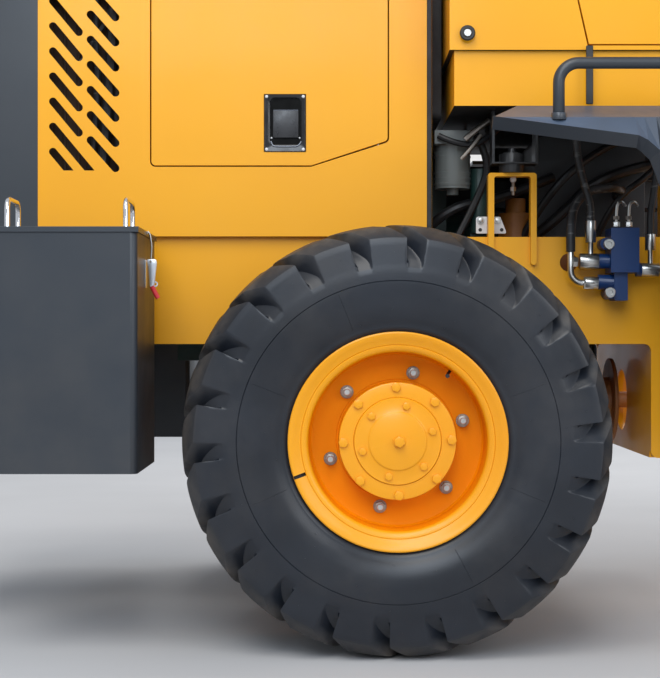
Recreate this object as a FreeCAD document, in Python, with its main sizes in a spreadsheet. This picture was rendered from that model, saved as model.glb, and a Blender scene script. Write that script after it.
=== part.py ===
"""An articulated wheel loader of the two tonne class, in millimetres.

X points forward, Y to the driver's left, Z up. While it is drawn, x = 0 is the
articulation pin and z = 0 the ground; at the end every sub-part is placed so that
the origin lies under the middle of the whole machine.
"""
import FreeCAD, Part
import math
import os
import re
import Sketcher

Vector = FreeCAD.Vector

SIZES = (
    # name, millimetres or degrees, what it measures
    ("wheel_base", 2300, "rear axle to front axle, the articulation pin halfway"),
    ("tyre_radius", 550, "out to the tips of the lugs"),
    ("tyre_width", 450, "over the sidewalls"),
    ("wheel_offset", 810, "middle of the machine to the middle of a wheel"),
    ("lug_count", 22, "lugs on each half of a tyre"),
    ("lug_width", 96, "round the tyre"),
    ("lug_depth", 42, "tip of a lug down to the tread"),
    ("lug_phase", 13.5, "first lug clockwise from the top, near side"),
    ("lug_slant", 80, "middle of the tyre behind its shoulder, along a lug"),
    ("lug_bevel_width", 48, "bevel at the end of a lug, across the tyre"),
    ("lug_bevel_height", 32, "bevel at the end of a lug, toward the axle"),
    ("lug_reach", 130, "tip of a lug down to its root inside the sidewall"),
    ("lug_taper", 44, "edge of a lug in to that root"),
    ("lug_gap", 12, "middle of the tyre to the inner end of a lug"),
    ("wall_inset", 24, "lug's outer face in to the sidewall at the tread"),
    ("bead_radius", 262, "seat of the tyre on its rim"),
    ("bead_inset", 30, "edge of the rim to the heel of the tyre's bead"),
    ("rim_flange_radius", 281, "outer edge of the rim"),
    ("rim_flange", 10, "thickness of the rim's flanges"),
    ("rim_half_width", 205, "half the rim over its flanges"),
    ("rim_well_radius", 228, "inner edge of the rim's outer face"),
    ("rim_dish", 22, "slope of the rim's outer face toward the disc"),
    ("disc_depth", 90, "middle of the wheel out to its disc"),
    ("disc_wall", 14, "thickness of the wheel's disc"),
    ("hub_face", 172, "middle of the wheel out to the hub's cover"),
    ("hub_radius", 151, "planetary hub through the disc"),
    ("hub_cover_radius", 112, "cover of the planetary hub"),
    ("hub_cap_radius", 73, "raised middle of that cover"),
    ("hub_step", 4, "height of each step on the hub's face"),
    ("axle_end", 100, "middle of the wheel in to the end of the axle"),
    ("axle_flange", 30, "thickness of the axle's end flanges"),
    ("axle_tube_radius", 78, "axle housing beside the differential"),
    ("differential_radius", 190, "bowl in the middle of an axle"),
    ("pinion", 250, "axle to the end of its pinion's neck"),
    ("running_gap", 0.08, "between a pin and its bore"),
    ("side_gap", 5, "between pieces that pass each other"),
    ("driveline_height", 620, "line of the propeller shafts"),
    ("shaft_radius", 25, "propeller shaft"),
    ("yoke_radius", 35, "propeller shaft's yokes"),
    ("frame_half", 480, "outer face of the rear frame's side plates"),
    ("frame_plate", 25, "thickness of the side plates"),
    ("frame_low", 797, "lower edge of the side plates"),
    ("frame_top", 1103, "upper edge of the side plates"),
    ("frame_rear", 1250, "rear axle back to the end of the side plates"),
    ("frame_front", 850, "rear axle forward to the end of the side plates"),
    ("mount_bar_rear", 278, "rear axle forward to the cab mount's bar"),
    ("mount_bar_front", 416, "rear axle forward to its other leg"),
    ("mount_bar_low", 1023, "lower ends of the bar's legs"),
    ("mount_bar_top", 1285, "top of the bar under the cab's mount"),
    ("gearbox_top", 1090, "top of the gearbox"),
    ("hinge_low", 471, "lower edge of the front of the side plates"),
    ("hinge_boss", 95, "radius of the hinge plates round the pin"),
    ("hinge_pin_radius", 30, "articulation pins"),
    ("upper_hinge", 1030, "underside of the rear frame's upper hinge plate"),
    ("lower_hinge", 475, "underside of the rear frame's lower hinge plate"),
    ("hinge_plate", 40, "thickness of the rear frame's hinge plates"),
    ("fork_plate", 22, "thickness of the front frame's hinge plates"),
    ("hood_half", 505, "outer face of the hood's sides"),
    ("hood_wall", 25, "thickness of the hood's sides and doors"),
    ("hood_rear", 1004, "rear axle back to the end of the hood"),
    ("hood_front", 117, "rear axle forward to the front of the hood"),
    ("hood_top", 1980, "top of the hood"),
    ("hood_round", 110, "radius of the hood's upper edges"),
    ("door_gap", 4, "seam round a door"),
    ("engine_door_rear", 685, "rear axle back to the engine door"),
    ("engine_door_front", 5, "rear axle back to the front of the engine door"),
    ("engine_door_slant", 227, "rear axle back to the start of its slant"),
    ("engine_door_low", 1301, "bottom of the engine door"),
    ("engine_door_rise", 71, "height of its slant"),
    ("engine_door_top", 1844, "top of the engine door"),
    ("hinge_offset", 8, "door hinge axis outside the skin"),
    ("slot_pitch", 71.5, "louvre slots, one above the other"),
    ("slot_width", 22, "louvre slot"),
    ("slot_level", 1290.5, "level end of the two lowest slots"),
    ("slot_sheet", 4, "thickness of the hood round the slots"),
    ("cowl_rear", 1400, "rear axle back to the end of the rear cowl"),
    ("cowl_top", 1955, "top of the rear cowl"),
    ("weight_rear", 1470, "rear axle back to the counterweight's face"),
    ("weight_front", 1140, "rear axle back to the front of the counterweight"),
    ("weight_half", 560, "half the counterweight's width"),
    ("weight_low", 520, "underside of the counterweight"),
    ("tow_pin_bore", 25, "radius of the tow hitch's bore"),
    ("tow_pin_inset", 43, "counterweight's face forward to that bore"),
    ("tow_pin_foot", 700, "bottom of that bore"),
    ("box_rear", 1084, "rear axle back to the side boxes' ends"),
    ("box_front", 664, "rear axle back to the side boxes' fronts"),
    ("box_inner", 567, "inner face of a side box"),
    ("box_outer", 1000, "outer face of a side box"),
    ("box_low", 468, "underside of a side box"),
    ("box_top", 1084, "upper edge of a side box"),
    ("box_wall", 6, "sheet of a side box"),
    ("box_round", 18, "radius of a side box's upright edges"),
    ("lid_thickness", 14, "lid of a side box"),
    ("lid_gap", 0.3, "between a side box and its closed lid"),
    ("lid_hinge_back", 12, "end of a side box back to its lid's hinge"),
    ("bail_radius", 7, "rod of the lids' bails"),
    ("bail_height", 76, "bail above its lid"),
    ("bail_width", 150, "bail across the machine"),
    ("bail_front", 700, "rear axle back to the front bail"),
    ("bail_step", 306, "front bail to the rear one"),
    ("cab_half", 630, "outer face of the cab's sides"),
    ("cab_rear", 158, "rear axle forward to the back of the cab"),
    ("cab_corner", 80, "pin back to the corner of the cab's side"),
    ("cab_nose", 200, "pin forward to the windscreen"),
    ("cab_nose_half", 400, "half the windscreen's width"),
    ("cab_low", 1459, "underside of the cab"),
    ("cab_wall", 45, "thickness of the cab's walls and doors"),
    ("cab_floor", 40, "thickness of the cab's floor"),
    ("cab_inset", 14, "cab's lower walls behind its upper ones"),
    ("cab_crease", 1612, "top of the cab's lower walls"),
    ("cab_sill", 1950, "bottom of the rear windows"),
    ("cab_front_sill", 1760, "bottom of the windscreen"),
    ("cab_eaves", 2880, "underside of the roof"),
    ("header_depth", 60, "top of the windows below the roof"),
    ("roof_height", 120, "thickness of the roof"),
    ("roof_reach", 35, "roof beyond the walls"),
    ("cab_door_rear", 544, "rear axle forward to the cab door's lower corner"),
    ("cab_door_back", 482, "rear axle forward to the cab door's upright rear edge"),
    ("cab_door_bend", 1900, "lower end of that edge"),
    ("cab_door_front", 104, "pin back to the front of the cab door"),
    ("cab_door_low", 1628, "bottom of the cab door"),
    ("glass", 6, "thickness of the window glass"),
    ("post", 70, "width of the cab's posts"),
    ("deck_height", 1440, "deck beside the cab"),
    ("deck_edge", 750, "outer edge of the deck"),
    ("mudguard_crease", 900, "crease of the mudguard's flank"),
    ("crease_height", 1390, "height of that crease"),
    ("platform_front", 812, "rear axle forward to its upright front"),
    ("platform_inner", 640, "inner edge of the platform"),
    ("platform_outer", 950, "outer edge of the platform"),
    ("platform_sheet", 12, "thickness of the platform's sheet"),
    ("platform_low", 480, "lower end of its upright front"),
    ("step_reach", 130, "depth of a step"),
    ("step_pitch", 280, "step to step"),
    ("rail_radius", 15.5, "handrail tube"),
    ("rail_rise", 131, "handrail above its foot on the mudguard"),
    ("rail_seat", 1400, "top of the handrail's foot on the mudguard"),
    ("rail_rear", 423, "rear axle forward to the handrail's rear leg"),
    ("rail_offset", 900, "handrail from the middle of the machine"),
    ("tower_inner", 270, "inner face of the inner tower plates"),
    ("tower_outer", 460, "outer face of the outer tower plates"),
    ("tower_plate", 22, "thickness of the tower plates"),
    ("tower_rear", 230, "pin forward to the tower plates"),
    ("tower_front", 1330, "pin forward to the front of the tower plates"),
    ("boom_pivot_forward", 480, "pin forward to the boom's pivot"),
    ("boom_pivot_height", 1580, "boom's pivot"),
    ("boom_pin_radius", 35, "boom's pivot pins"),
    ("boom_length", 2250, "boom's pivot to the bucket's pivot"),
    ("bucket_pivot_height", 250, "bucket's pivot with the bucket on the ground"),
    ("arm_inner", 390, "inner face of a boom arm"),
    ("arm_outer", 430, "outer face of a boom arm"),
    ("arm_boss", 95, "radius of the arm round its pivot"),
    ("arm_end", 72, "radius of the arm round the bucket's pivot"),
    ("bucket_pin_radius", 30, "bucket's pivot pins"),
    ("lever_length", 360, "lever pivot to the link's pin, and bucket pivot to it"),
    ("lever_angle", 94, "lever above the horizontal, forward to up"),
    ("link_length", 1150, "between the link's pins"),
    ("link_pin_radius", 25, "pins of lever and link"),
    ("link_half", 41, "half the link's width"),
    ("ear_inner", 46, "inner face of the ears beside the link"),
    ("ear_outer", 70, "outer face of the ears beside the link"),
    ("tilt_radius", 100, "lever pivot to the tilt cylinder's pin"),
    ("tilt_lag", 40, "tilt cylinder's pin behind the lever's line"),
    ("tilt_anchor_along", 230, "tilt cylinder's base along the boom's line"),
    ("tilt_anchor_below", 180, "tilt cylinder's base below the boom's line"),
    ("bucket_half", 1050, "half the bucket's width"),
    ("bucket_reach", 800, "bucket's pivot forward to the cutting edge"),
    ("bucket_plate", 18, "bucket's shell"),
    ("bucket_side", 20, "bucket's sides"),
    ("bucket_floor", 8, "underside of the bucket above the ground"),
    ("bucket_height", 900, "upper lip of the bucket"),
    ("bucket_back", 105, "bucket's pivot forward to the shell"),
    ("lift_pin_along", 400, "boom's pivot to the lift cylinder's pin"),
    ("lift_base_distance", 950, "boom's pivot to the lift cylinder's base"),
    ("lift_base_angle", 60, "between those two"),
    ("lift_offset", 345, "middle of the machine to a lift cylinder"),
    ("tilt_retract", 45, "tilt cylinder shorter than as parked, at most"),
    ("steer_retract", 203, "steering cylinder shorter than as parked, at most"),
    ("steer_base_back", 640, "pin back to a steering cylinder's base"),
    ("steer_base_offset", 350, "middle of the machine to that base"),
    ("steer_eye_forward", 150, "pin forward to a steering rod's eye"),
    ("steer_eye_offset", 300, "middle of the machine to that eye"),
    ("steer_height", 900, "steering cylinders"),
    ("valve_rear", 614, "rear axle forward to the steering valve"),
    ("valve_length", 79, "steering valve along the frame"),
    ("valve_low", 998, "underside of the steering valve's body"),
    ("valve_height", 125, "steering valve's body"),
    ("valve_depth", 100, "steering valve out from the frame"),
    ("tank_rear", 450, "rear axle forward to the hydraulic tank"),
    ("tank_half", 150, "middle of the machine to the tank's right side"),
    ("filter_radius", 51.5, "fuel filter"),
    ("filter_low", 1258, "underside of the fuel filter"),
    ("filter_height", 120, "fuel filter's canister"),
    ("disc_radius", 130, "parking brake's disc"),
    ("disc_back", 441, "pin back to the brake disc"),
)

PLACES = (
    # name, formula in the sizes above, all from the articulation pin
    ("rear_axle", "-wheel_base / 2"),
    ("front_axle", "wheel_base / 2"),
    ("frame_inner", "frame_half - frame_plate"),
    ("axle_face", "wheel_offset - axle_end - 0.5"),
    ("lug_turn", "360 / lug_count"),
    ("boom_drop", "boom_pivot_height - bucket_pivot_height"),
    ("boom_run", "sqrt(boom_length ^ 2 - boom_drop ^ 2)"),
    ("bucket_pivot_forward", "boom_pivot_forward + boom_run"),
    ("lever_along", "boom_length - link_length"),
    ("arm_middle", "(arm_inner + arm_outer) / 2"),
    ("cab_header", "cab_eaves - header_depth"),
    ("roof_top", "cab_eaves + roof_height"),
    ("rail_height", "rail_seat + rail_rise"),
)


class Sheet:
    """A spreadsheet whose cells are read and linked by name."""

    def __init__(self, name, rows, formula):
        self.cells = doc.addObject("Spreadsheet::Sheet", name)
        self.names = []
        for row, line in enumerate(rows, start=1):
            self.names.append(line[0])
            self.cells.set(f"A{row}", line[0])
            self.cells.set(f"B{row}", formula(line[1]))
            self.cells.setAlias(f"B{row}", line[0])
        doc.recompute()


def link(text):
    """Turn the sizes named in a formula into references to their sheet."""
    def owner(match):
        word = match.group()
        sheet = next((sheet for sheet in sheets if word in sheet.names), None)
        return f"{sheet.cells.Name}.{word}" if sheet else word
    return re.sub(r"[a-z]\w*", owner, str(text))


def size(name):
    """The value of one named size or place."""
    sheet = next(sheet for sheet in sheets if name in sheet.names)
    return float(sheet.cells.get(name))


doc = FreeCAD.newDocument("WheelLoader")
sheets = []
sheets.append(Sheet("Sizes", SIZES, str))
sheets.append(Sheet("Places", PLACES, lambda formula: "=" + link(formula)))

nodes = {}


def bind(piece, **formulas):
    """Bind properties of an object to formulas; Base_x stands for Placement.Base.x."""
    for prop, formula in formulas.items():
        piece.setExpression(prop.replace("Base_", "Placement.Base."), link(formula))
    return piece


def box(name, x, y, z):
    """A block between the two ends given along each axis."""
    piece = doc.addObject("Part::Box", name)
    for prop, axis, (low, high) in zip(("Length", "Width", "Height"), "xyz", (x, y, z)):
        bind(piece, **{prop: f"({high}) - ({low})", f"Base_{axis}": low})
    return piece


TURN = {
    "x": FreeCAD.Rotation(Vector(0, 1, 0), 90),
    "y": FreeCAD.Rotation(Vector(1, 0, 0), -90),
    "z": FreeCAD.Rotation(),
}


def rod(name, along, centre, ends, radius):
    """A round bar along one axis; centre holds its place on the other two."""
    piece = doc.addObject("Part::Cylinder", name)
    piece.Placement = FreeCAD.Placement(Vector(), TURN[along])
    others = [axis for axis in "xyz" if axis != along]
    bind(piece, Radius=radius, Height=f"({ends[1]}) - ({ends[0]})")
    bind(piece, **{f"Base_{along}": ends[0]})
    bind(piece, **{f"Base_{axis}": place for axis, place in zip(others, centre)})
    return piece


PLANES = {
    # plane: role, sign of its normal along the remaining axis
    "xz": ("XZ_Plane", -1),
    "xy": ("XY_Plane", 1),
    "yz": ("YZ_Plane", 1),
}


def plane_of(body, plane):
    role = PLANES[plane][0]
    return next(part for part in body.Origin.OriginFeatures if part.Role == role)


def draw(body, name, plane, level, outline, circles=()):
    """A sketch of straight lines round the outline's points, with round holes."""
    sketch = body.newObject("Sketcher::SketchObject", name)
    sketch.AttachmentSupport = [(plane_of(body, plane), "")]
    sketch.MapMode = "FlatFace"
    sketch.setExpression("AttachmentOffset.Base.z", link(f"{PLANES[plane][1]} * ({level})"))
    count = len(outline)

    def guess(corner):
        turn = 2 * math.pi * (corner % count) / count
        return Vector(math.cos(turn), math.sin(turn), 0)

    def fix(kind, line, point, formula):
        index = sketch.addConstraint(Sketcher.Constraint(kind, -1, 1, line, point, 1.0))
        sketch.setExpression(f"Constraints[{index}]", link(formula))

    sketch.addGeometry([Part.LineSegment(guess(i), guess(i + 1)) for i in range(count)])
    for line in range(count):
        following = (line + 1) % count
        sketch.addConstraint(Sketcher.Constraint("Coincident", line, 2, following, 1))
    for line, (across, up) in enumerate(outline):
        fix("DistanceX", line, 1, across)
        fix("DistanceY", line, 1, up)
    for across, up, radius in circles:
        ring = sketch.addGeometry(Part.Circle(Vector(), Vector(0, 0, 1), 1))
        index = sketch.addConstraint(Sketcher.Constraint("Radius", ring, 1.0))
        sketch.setExpression(f"Constraints[{index}]", link(radius))
        fix("DistanceX", ring, 3, across)
        fix("DistanceY", ring, 3, up)
    return sketch


def plate(name, plane, outline, ends, circles=(), rounding=None, edges=None):
    """A flat plate: an outline padded between two levels across its plane."""
    body = doc.addObject("PartDesign::Body", name)
    low, high = ends
    level = high if PLANES[plane][1] < 0 else low
    sketch = draw(body, name + "_outline", plane, level, outline, circles)
    pad = body.newObject("PartDesign::Pad", name + "_pad")
    pad.Profile = sketch
    bind(pad, Length=f"({high}) - ({low})")
    if rounding:
        doc.recompute()
        normal = {"xz": Vector(0, 1, 0), "xy": Vector(0, 0, 1), "yz": Vector(1, 0, 0)}[plane]
        fillet = body.newObject("PartDesign::Fillet", name + "_rounding")
        fillet.Base = (pad, edge_names(pad.Shape, normal, edges))
        bind(fillet, Radius=rounding)
    return body


def edge_names(shape, along, wanted=None):
    """Names of the straight corner edges along a direction, or of those wanted."""
    names = []
    for number, edge in enumerate(shape.Edges, start=1):
        if not isinstance(edge.Curve, Part.Line) or edge.isSeam(shape.Faces[0]):
            continue
        faces = shape.ancestorsOfType(edge, Part.Face)
        flat = all(isinstance(face.Surface, Part.Plane) for face in faces)
        straight = edge.tangentAt(edge.FirstParameter).cross(along).Length < 1e-6
        if flat and straight and (wanted is None or wanted(edge.CenterOfMass)):
            names.append(f"Edge{number}")
    return names


def turned(name, outline, centre, along="y"):
    """A turned piece: an outline of (along, radius) points spun round an axis."""
    body = doc.addObject("PartDesign::Body", name)
    plane = {"x": "xz", "y": "yz", "z": "xz"}[along]
    if along == "z":
        outline = [(radius, place) for place, radius in outline]
    sketch = draw(body, name + "_section", plane, 0, outline)
    spin = body.newObject("PartDesign::Revolution", name + "_spin")
    spin.Profile = sketch
    spin.ReferenceAxis = (sketch, ["V_Axis" if along == "z" else "H_Axis"])
    spin.Angle = 360
    bind(body, Base_x=centre[0], Base_y=centre[1], Base_z=centre[2])
    return body


def bent_rod(name, points, radius, bend=None):
    """A round bar along straight runs joined by tangent arcs, as large as fit if none is given."""
    corners = [Vector(*point) for point in points]
    edges = []
    smallest = math.inf
    start = corners[0]
    for before, corner, after in zip(corners, corners[1:], corners[2:]):
        into = (corner - before).normalize()
        out = (after - corner).normalize()
        turn = into.getAngle(out)
        shorter = min((corner - before).Length, (after - corner).Length)
        arc = bend or 0.45 * shorter / math.tan(turn / 2)
        smallest = min(smallest, arc)
        back = arc * math.tan(turn / 2)
        first = corner - into * back
        last = corner + out * back
        inward = (out - into).normalize()
        middle = corner + inward * (arc / math.cos(turn / 2) - arc)
        if (first - start).Length > 1e-3:
            edges.append(Part.LineSegment(start, first).toShape())
        edges.append(Part.Arc(first, middle, last).toShape())
        start = last
    edges.append(Part.LineSegment(start, corners[-1]).toShape())
    path = Part.Wire(edges)
    heading = (corners[1] - corners[0]).normalize()
    section = Part.Wire(Part.makeCircle(radius, corners[0], heading))
    piece = doc.addObject("Part::Feature", name)
    piece.Shape = path.makePipeShell([section], True, False)
    expected = math.pi * radius ** 2 * path.Length
    print(f"{name}: length {path.Length:.0f}, smallest arc {smallest:.0f},"
          f" volume {piece.Shape.Volume / expected:.4f} of section times length")
    return piece


def fuse(name, pieces):
    piece = doc.addObject("Part::MultiFuse", name)
    piece.Shapes = pieces
    return piece


def group(name, pieces):
    piece = doc.addObject("Part::Compound", name)
    piece.Links = pieces
    return piece


def cut(name, base, tools):
    piece = doc.addObject("Part::Cut", name)
    piece.Base = base
    piece.Tool = tools[0] if len(tools) == 1 else fuse(name + "_tools", tools)
    return piece


def mirror(piece):
    """The same piece on the other side of the machine."""
    other = doc.addObject("Part::Mirroring", piece.Name + "_mirrored")
    other.Source = piece
    other.Normal = Vector(0, 1, 0)
    return other


def both(pieces):
    return pieces + [mirror(piece) for piece in pieces]


def node(label, pieces, joined=True):
    """A named sub-part, either fused from its pieces or holding them apart."""
    maker = fuse if joined and len(pieces) > 1 else group
    nodes[label] = maker(label, pieces)
    nodes[label].Label = label
    return nodes[label]


def shape_node(label, piece):
    return node(label, [piece], joined=False)


def flat_faces(first, second, third, fourth):
    """Two triangles between four corners, less any that has no area."""
    return [Part.Face(Part.makePolygon([*corners, corners[0]]))
            for corners in ((first, second, third), (first, third, fourth))
            if (corners[1] - corners[0]).cross(corners[2] - corners[0]).Length > 1]


def bent_sheet(name, outer, inner):
    """A sheet between two nets of points, its outer skin and its inner one."""
    faces = []
    rows, columns = len(outer), len(outer[0])
    for row in range(rows - 1):
        for column in range(columns - 1):
            for net in (outer, inner):
                faces += flat_faces(net[row][column], net[row][column + 1],
                                    net[row + 1][column + 1], net[row + 1][column])
        for column in (0, columns - 1):
            faces += flat_faces(outer[row][column], outer[row + 1][column],
                                inner[row + 1][column], inner[row][column])
    for row in (0, rows - 1):
        for column in range(columns - 1):
            faces += flat_faces(outer[row][column], outer[row][column + 1],
                                inner[row][column + 1], inner[row][column])
    shell = Part.makeShell(faces)
    shell.sewShape()
    solid = Part.makeSolid(shell)
    piece = doc.addObject("Part::Feature", name)
    piece.Shape = solid if solid.Volume > 0 else solid.reversed()
    return piece


def polar(origin, distance, degrees):
    """A point given by its distance and direction in the plane of the boom."""
    turn = math.radians(degrees)
    return (origin[0] + distance * math.cos(turn), origin[1] + distance * math.sin(turn))


def spot(point):
    """A point of plain numbers as formulas."""
    return tuple(f"{value:.3f}" for value in point)


def hinge_barrels(name, along, centre, spots, radius, length):
    """Round hinge barrels in pairs on one axis: those of the door, those of its frame."""
    doors, frames = [], []
    for number, spot_on_axis in enumerate(spots):
        middle = f"({spot_on_axis})"
        doors.append(rod(f"{name}_door_barrel_{number}", along, centre,
                         (middle, f"{middle} + {length}"), radius))
        frames.append(rod(f"{name}_frame_barrel_{number}", along, centre,
                          (f"{middle} - 0.3 - {length}", f"{middle} - 0.3"), radius))
    return doors, frames


# Wheels

def lug(side):
    """One lug at the top of the tyre: its plan, slanting inward, met by its section."""
    outer, inner = f"{side} * tyre_width / 2", f"{side} * lug_gap"
    plan = plate("lug_plan", "xy", [
        ("-lug_width / 2", outer), ("lug_width / 2", outer),
        ("lug_width / 2 - lug_slant", inner), ("-lug_width / 2 - lug_slant", inner)],
        ("tyre_radius / 2", "tyre_radius"))
    section = plate("lug_section", "yz", [
        (inner, "tyre_radius - lug_reach"), (inner, "tyre_radius"),
        (f"{side} * (tyre_width / 2 - lug_bevel_width)", "tyre_radius"),
        (outer, "tyre_radius - lug_bevel_height"),
        (f"{side} * (tyre_width / 2 - lug_taper)", "tyre_radius - lug_reach")],
        ("-lug_width - lug_slant", "lug_width + lug_slant"))
    met = doc.addObject("Part::MultiCommon", "lug")
    met.Shapes = [plan, section]
    doc.recompute()
    return met.Shape


def carcass():
    """The tyre under its lugs, flat-sided between each lug and the next across it."""
    shoulder = size("tyre_width") / 2 - size("wall_inset")
    tread = size("tyre_radius") - size("lug_depth")
    bead = size("rim_half_width") - size("bead_inset")
    sides = int(size("lug_count"))
    bore = size("bead_radius") / math.cos(math.pi / sides)
    half = [(bead, bore), (shoulder, tread)]
    section = half + [(-across, radius) for across, radius in reversed(half)]
    turns = [FreeCAD.Rotation(Vector(0, 1, 0), 360 * number / sides) for number in range(sides)]
    loops = [[turn.multVec(Vector(0, across, radius)) for across, radius in section]
             for turn in turns]
    faces = []
    for loop, following in zip(loops, loops[1:] + loops[:1]):
        for place in range(len(section)):
            edge = (loop[place - 1], loop[place], following[place], following[place - 1])
            faces.append(Part.Face(Part.makePolygon([*edge, edge[0]])))
    solid = Part.makeSolid(Part.makeShell(faces))
    return solid if solid.Volume > 0 else solid.reversed()


def tyre():
    lugs = []
    for side in (-1, 1):
        form = lug(side)
        for number in range(int(size("lug_count"))):
            copy = form.copy()
            turn = size("lug_phase") + size("lug_turn") * (number + (side > 0) / 2)
            copy.rotate(Vector(), Vector(0, 1, 0), turn)
            lugs.append(copy)
    piece = doc.addObject("Part::Feature", "tyre_form")
    piece.Shape = carcass().multiFuse(lugs)
    return piece


def rim():
    """Rim, disc and planetary hub, the outer side toward -Y."""
    seat = "bead_radius - 0.3"
    section = [
        ("-rim_half_width", "rim_flange_radius - 6"),
        ("-rim_half_width + rim_flange", "rim_flange_radius"),
        ("-rim_half_width + rim_flange", seat),
        ("rim_half_width - rim_flange", seat),
        ("rim_half_width - rim_flange", "rim_flange_radius"),
        ("rim_half_width", "rim_flange_radius - 6"),
        ("rim_half_width", "rim_well_radius"),
        ("-disc_depth + disc_wall", "rim_well_radius"),
        ("-disc_depth + disc_wall", "hub_radius - axle_flange"),
        ("axle_end", "hub_radius - axle_flange"),
        ("axle_end", "0"),
        ("-hub_face", "0"),
        ("-hub_face", "hub_cap_radius"),
        ("-hub_face + hub_step", "hub_cap_radius + hub_step"),
        ("-hub_face + hub_step", "hub_cover_radius"),
        ("-hub_face + 2 * hub_step", "hub_cover_radius"),
        ("-hub_face + 2 * hub_step", "hub_radius - hub_step"),
        ("-hub_face + 3 * hub_step", "hub_radius"),
        ("-disc_depth", "hub_radius"),
        ("-disc_depth", "rim_well_radius"),
        ("-rim_half_width + rim_dish", "rim_well_radius"),
    ]
    return turned("rim_form", section, ("0", "0", "0"))


tyre_form = tyre()
rim_form = rim()
for end, axle in (("rear", "rear_axle"), ("front", "front_axle")):
    for side, sign in (("right", -1), ("left", 1)):
        for kind, form in (("tyre", tyre_form), ("rim", rim_form)):
            wheel = shape_node(f"{kind}_{end}_{side}", form)
            wheel.Placement.Rotation = FreeCAD.Rotation(Vector(0, 0, 1), 90 * (sign + 1))
            bind(wheel, Base_x=axle, Base_y=f"{sign} * wheel_offset", Base_z="tyre_radius")


# Axles and driveline

def axle(end, place, neck_ends):
    """Axle housing with its bowl, end flanges and the pinion's neck toward the pin."""
    line = (place, "tyre_radius")
    tube = rod(f"{end}_tube", "y", line, ("-axle_face", "axle_face"), "axle_tube_radius")
    bowl = doc.addObject("Part::Sphere", f"{end}_bowl")
    bind(bowl, Radius="differential_radius", Base_x=place, Base_z="tyre_radius")
    flanges = both([rod(f"{end}_flange", "y", line, ("-axle_face", "axle_flange - axle_face"),
                        "hub_radius - axle_flange")])
    neck = rod(f"{end}_neck", "x", ("0", "driveline_height"), neck_ends, "80")
    return [tube, bowl, neck] + flanges


node("rear_axle_housing", axle("rear_axle", "rear_axle", ("rear_axle", "rear_axle + pinion")))
node("front_axle_housing", axle("front_axle", "front_axle", ("front_axle - pinion", "front_axle")))

gearbox = [
    plate("gearbox_case", "xz",
          [("rear_axle + 300", "700"), ("rear_axle + 420", "470"), ("rear_axle + 560", "440"),
           ("rear_axle + 600", "520"), ("rear_axle + 600", "790"), ("rear_axle + 660", "870"),
           ("rear_axle + 660", "1000"), ("rear_axle + 560", "gearbox_top"),
           ("rear_axle + 300", "gearbox_top")],
          ("-260", "260"), rounding="28"),
    rod("gearbox_flange", "x", ("0", "driveline_height"),
        ("rear_axle + 580", "-disc_back - 6"), "70"),
    rod("converter_cover", "z", ("rear_axle + 388", "-205"), ("gearbox_top - 40", "1190"), "52"),
    rod("converter_neck", "z", ("rear_axle + 388", "-205"), ("1190", "1235"), "30"),
    rod("brake_disc", "x", ("0", "driveline_height"),
        ("-disc_back - 6", "-disc_back + 6"), "disc_radius"),
    rod("rear_shaft", "x", ("0", "driveline_height"), ("-disc_back", "-12"), "shaft_radius"),
    rod("axle_shaft", "x", ("0", "driveline_height"),
        ("rear_axle + pinion", "rear_axle + 460"), "shaft_radius"),
    rod("rear_yoke", "x", ("0", "driveline_height"), ("-90", "-40"), "yoke_radius"),
]
node("transmission", gearbox)

node("front_propshaft", [
    rod("front_shaft", "x", ("0", "driveline_height"), ("12", "front_axle - pinion"), "shaft_radius"),
    rod("front_yoke", "x", ("0", "driveline_height"), ("40", "90"), "yoke_radius"),
    rod("front_companion", "x", ("0", "driveline_height"),
        ("front_axle - pinion - 40", "front_axle - pinion"), "62"),
])


# Rear frame

def side_plate():
    outline = [
        ("rear_axle - frame_rear", "frame_low + 60"),
        ("rear_axle - frame_rear + 60", "frame_low"),
        ("rear_axle + 745", "frame_low"),
        ("rear_axle + 745", "hinge_low"),
        ("rear_axle + frame_front", "hinge_low"),
        ("rear_axle + frame_front", "frame_top"),
        ("rear_axle - frame_rear", "frame_top"),
    ]
    return plate("side_plate", "xz", outline, ("-frame_half", "-frame_inner"), rounding="20",
                 circles=[("-steer_base_back", "steer_height + 130", "26")])


def hinge_outline(way, reach, spread):
    """Plan of a hinge plate that narrows toward the pin; way is 1 forward, -1 back."""
    points = [(f"{way} * ({reach})", f"-({spread})"), (f"{way} * ({reach})", spread)]
    tip = [(f"{way} * (hinge_boss * {math.cos(turn):.4f})", f"hinge_boss * {math.sin(turn):.4f}")
           for turn in (math.radians(step) for step in (75, 105, 135, 165, 195, 225, 255, 285))]
    return points + tip


def rear_hinge_plate(name, low):
    return plate(name, "xy", hinge_outline(-1, "-(rear_axle + 745)", "frame_inner"),
                 (low, f"{low} + hinge_plate"),
                 circles=[("0", "0", "hinge_pin_radius + running_gap")])


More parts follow.
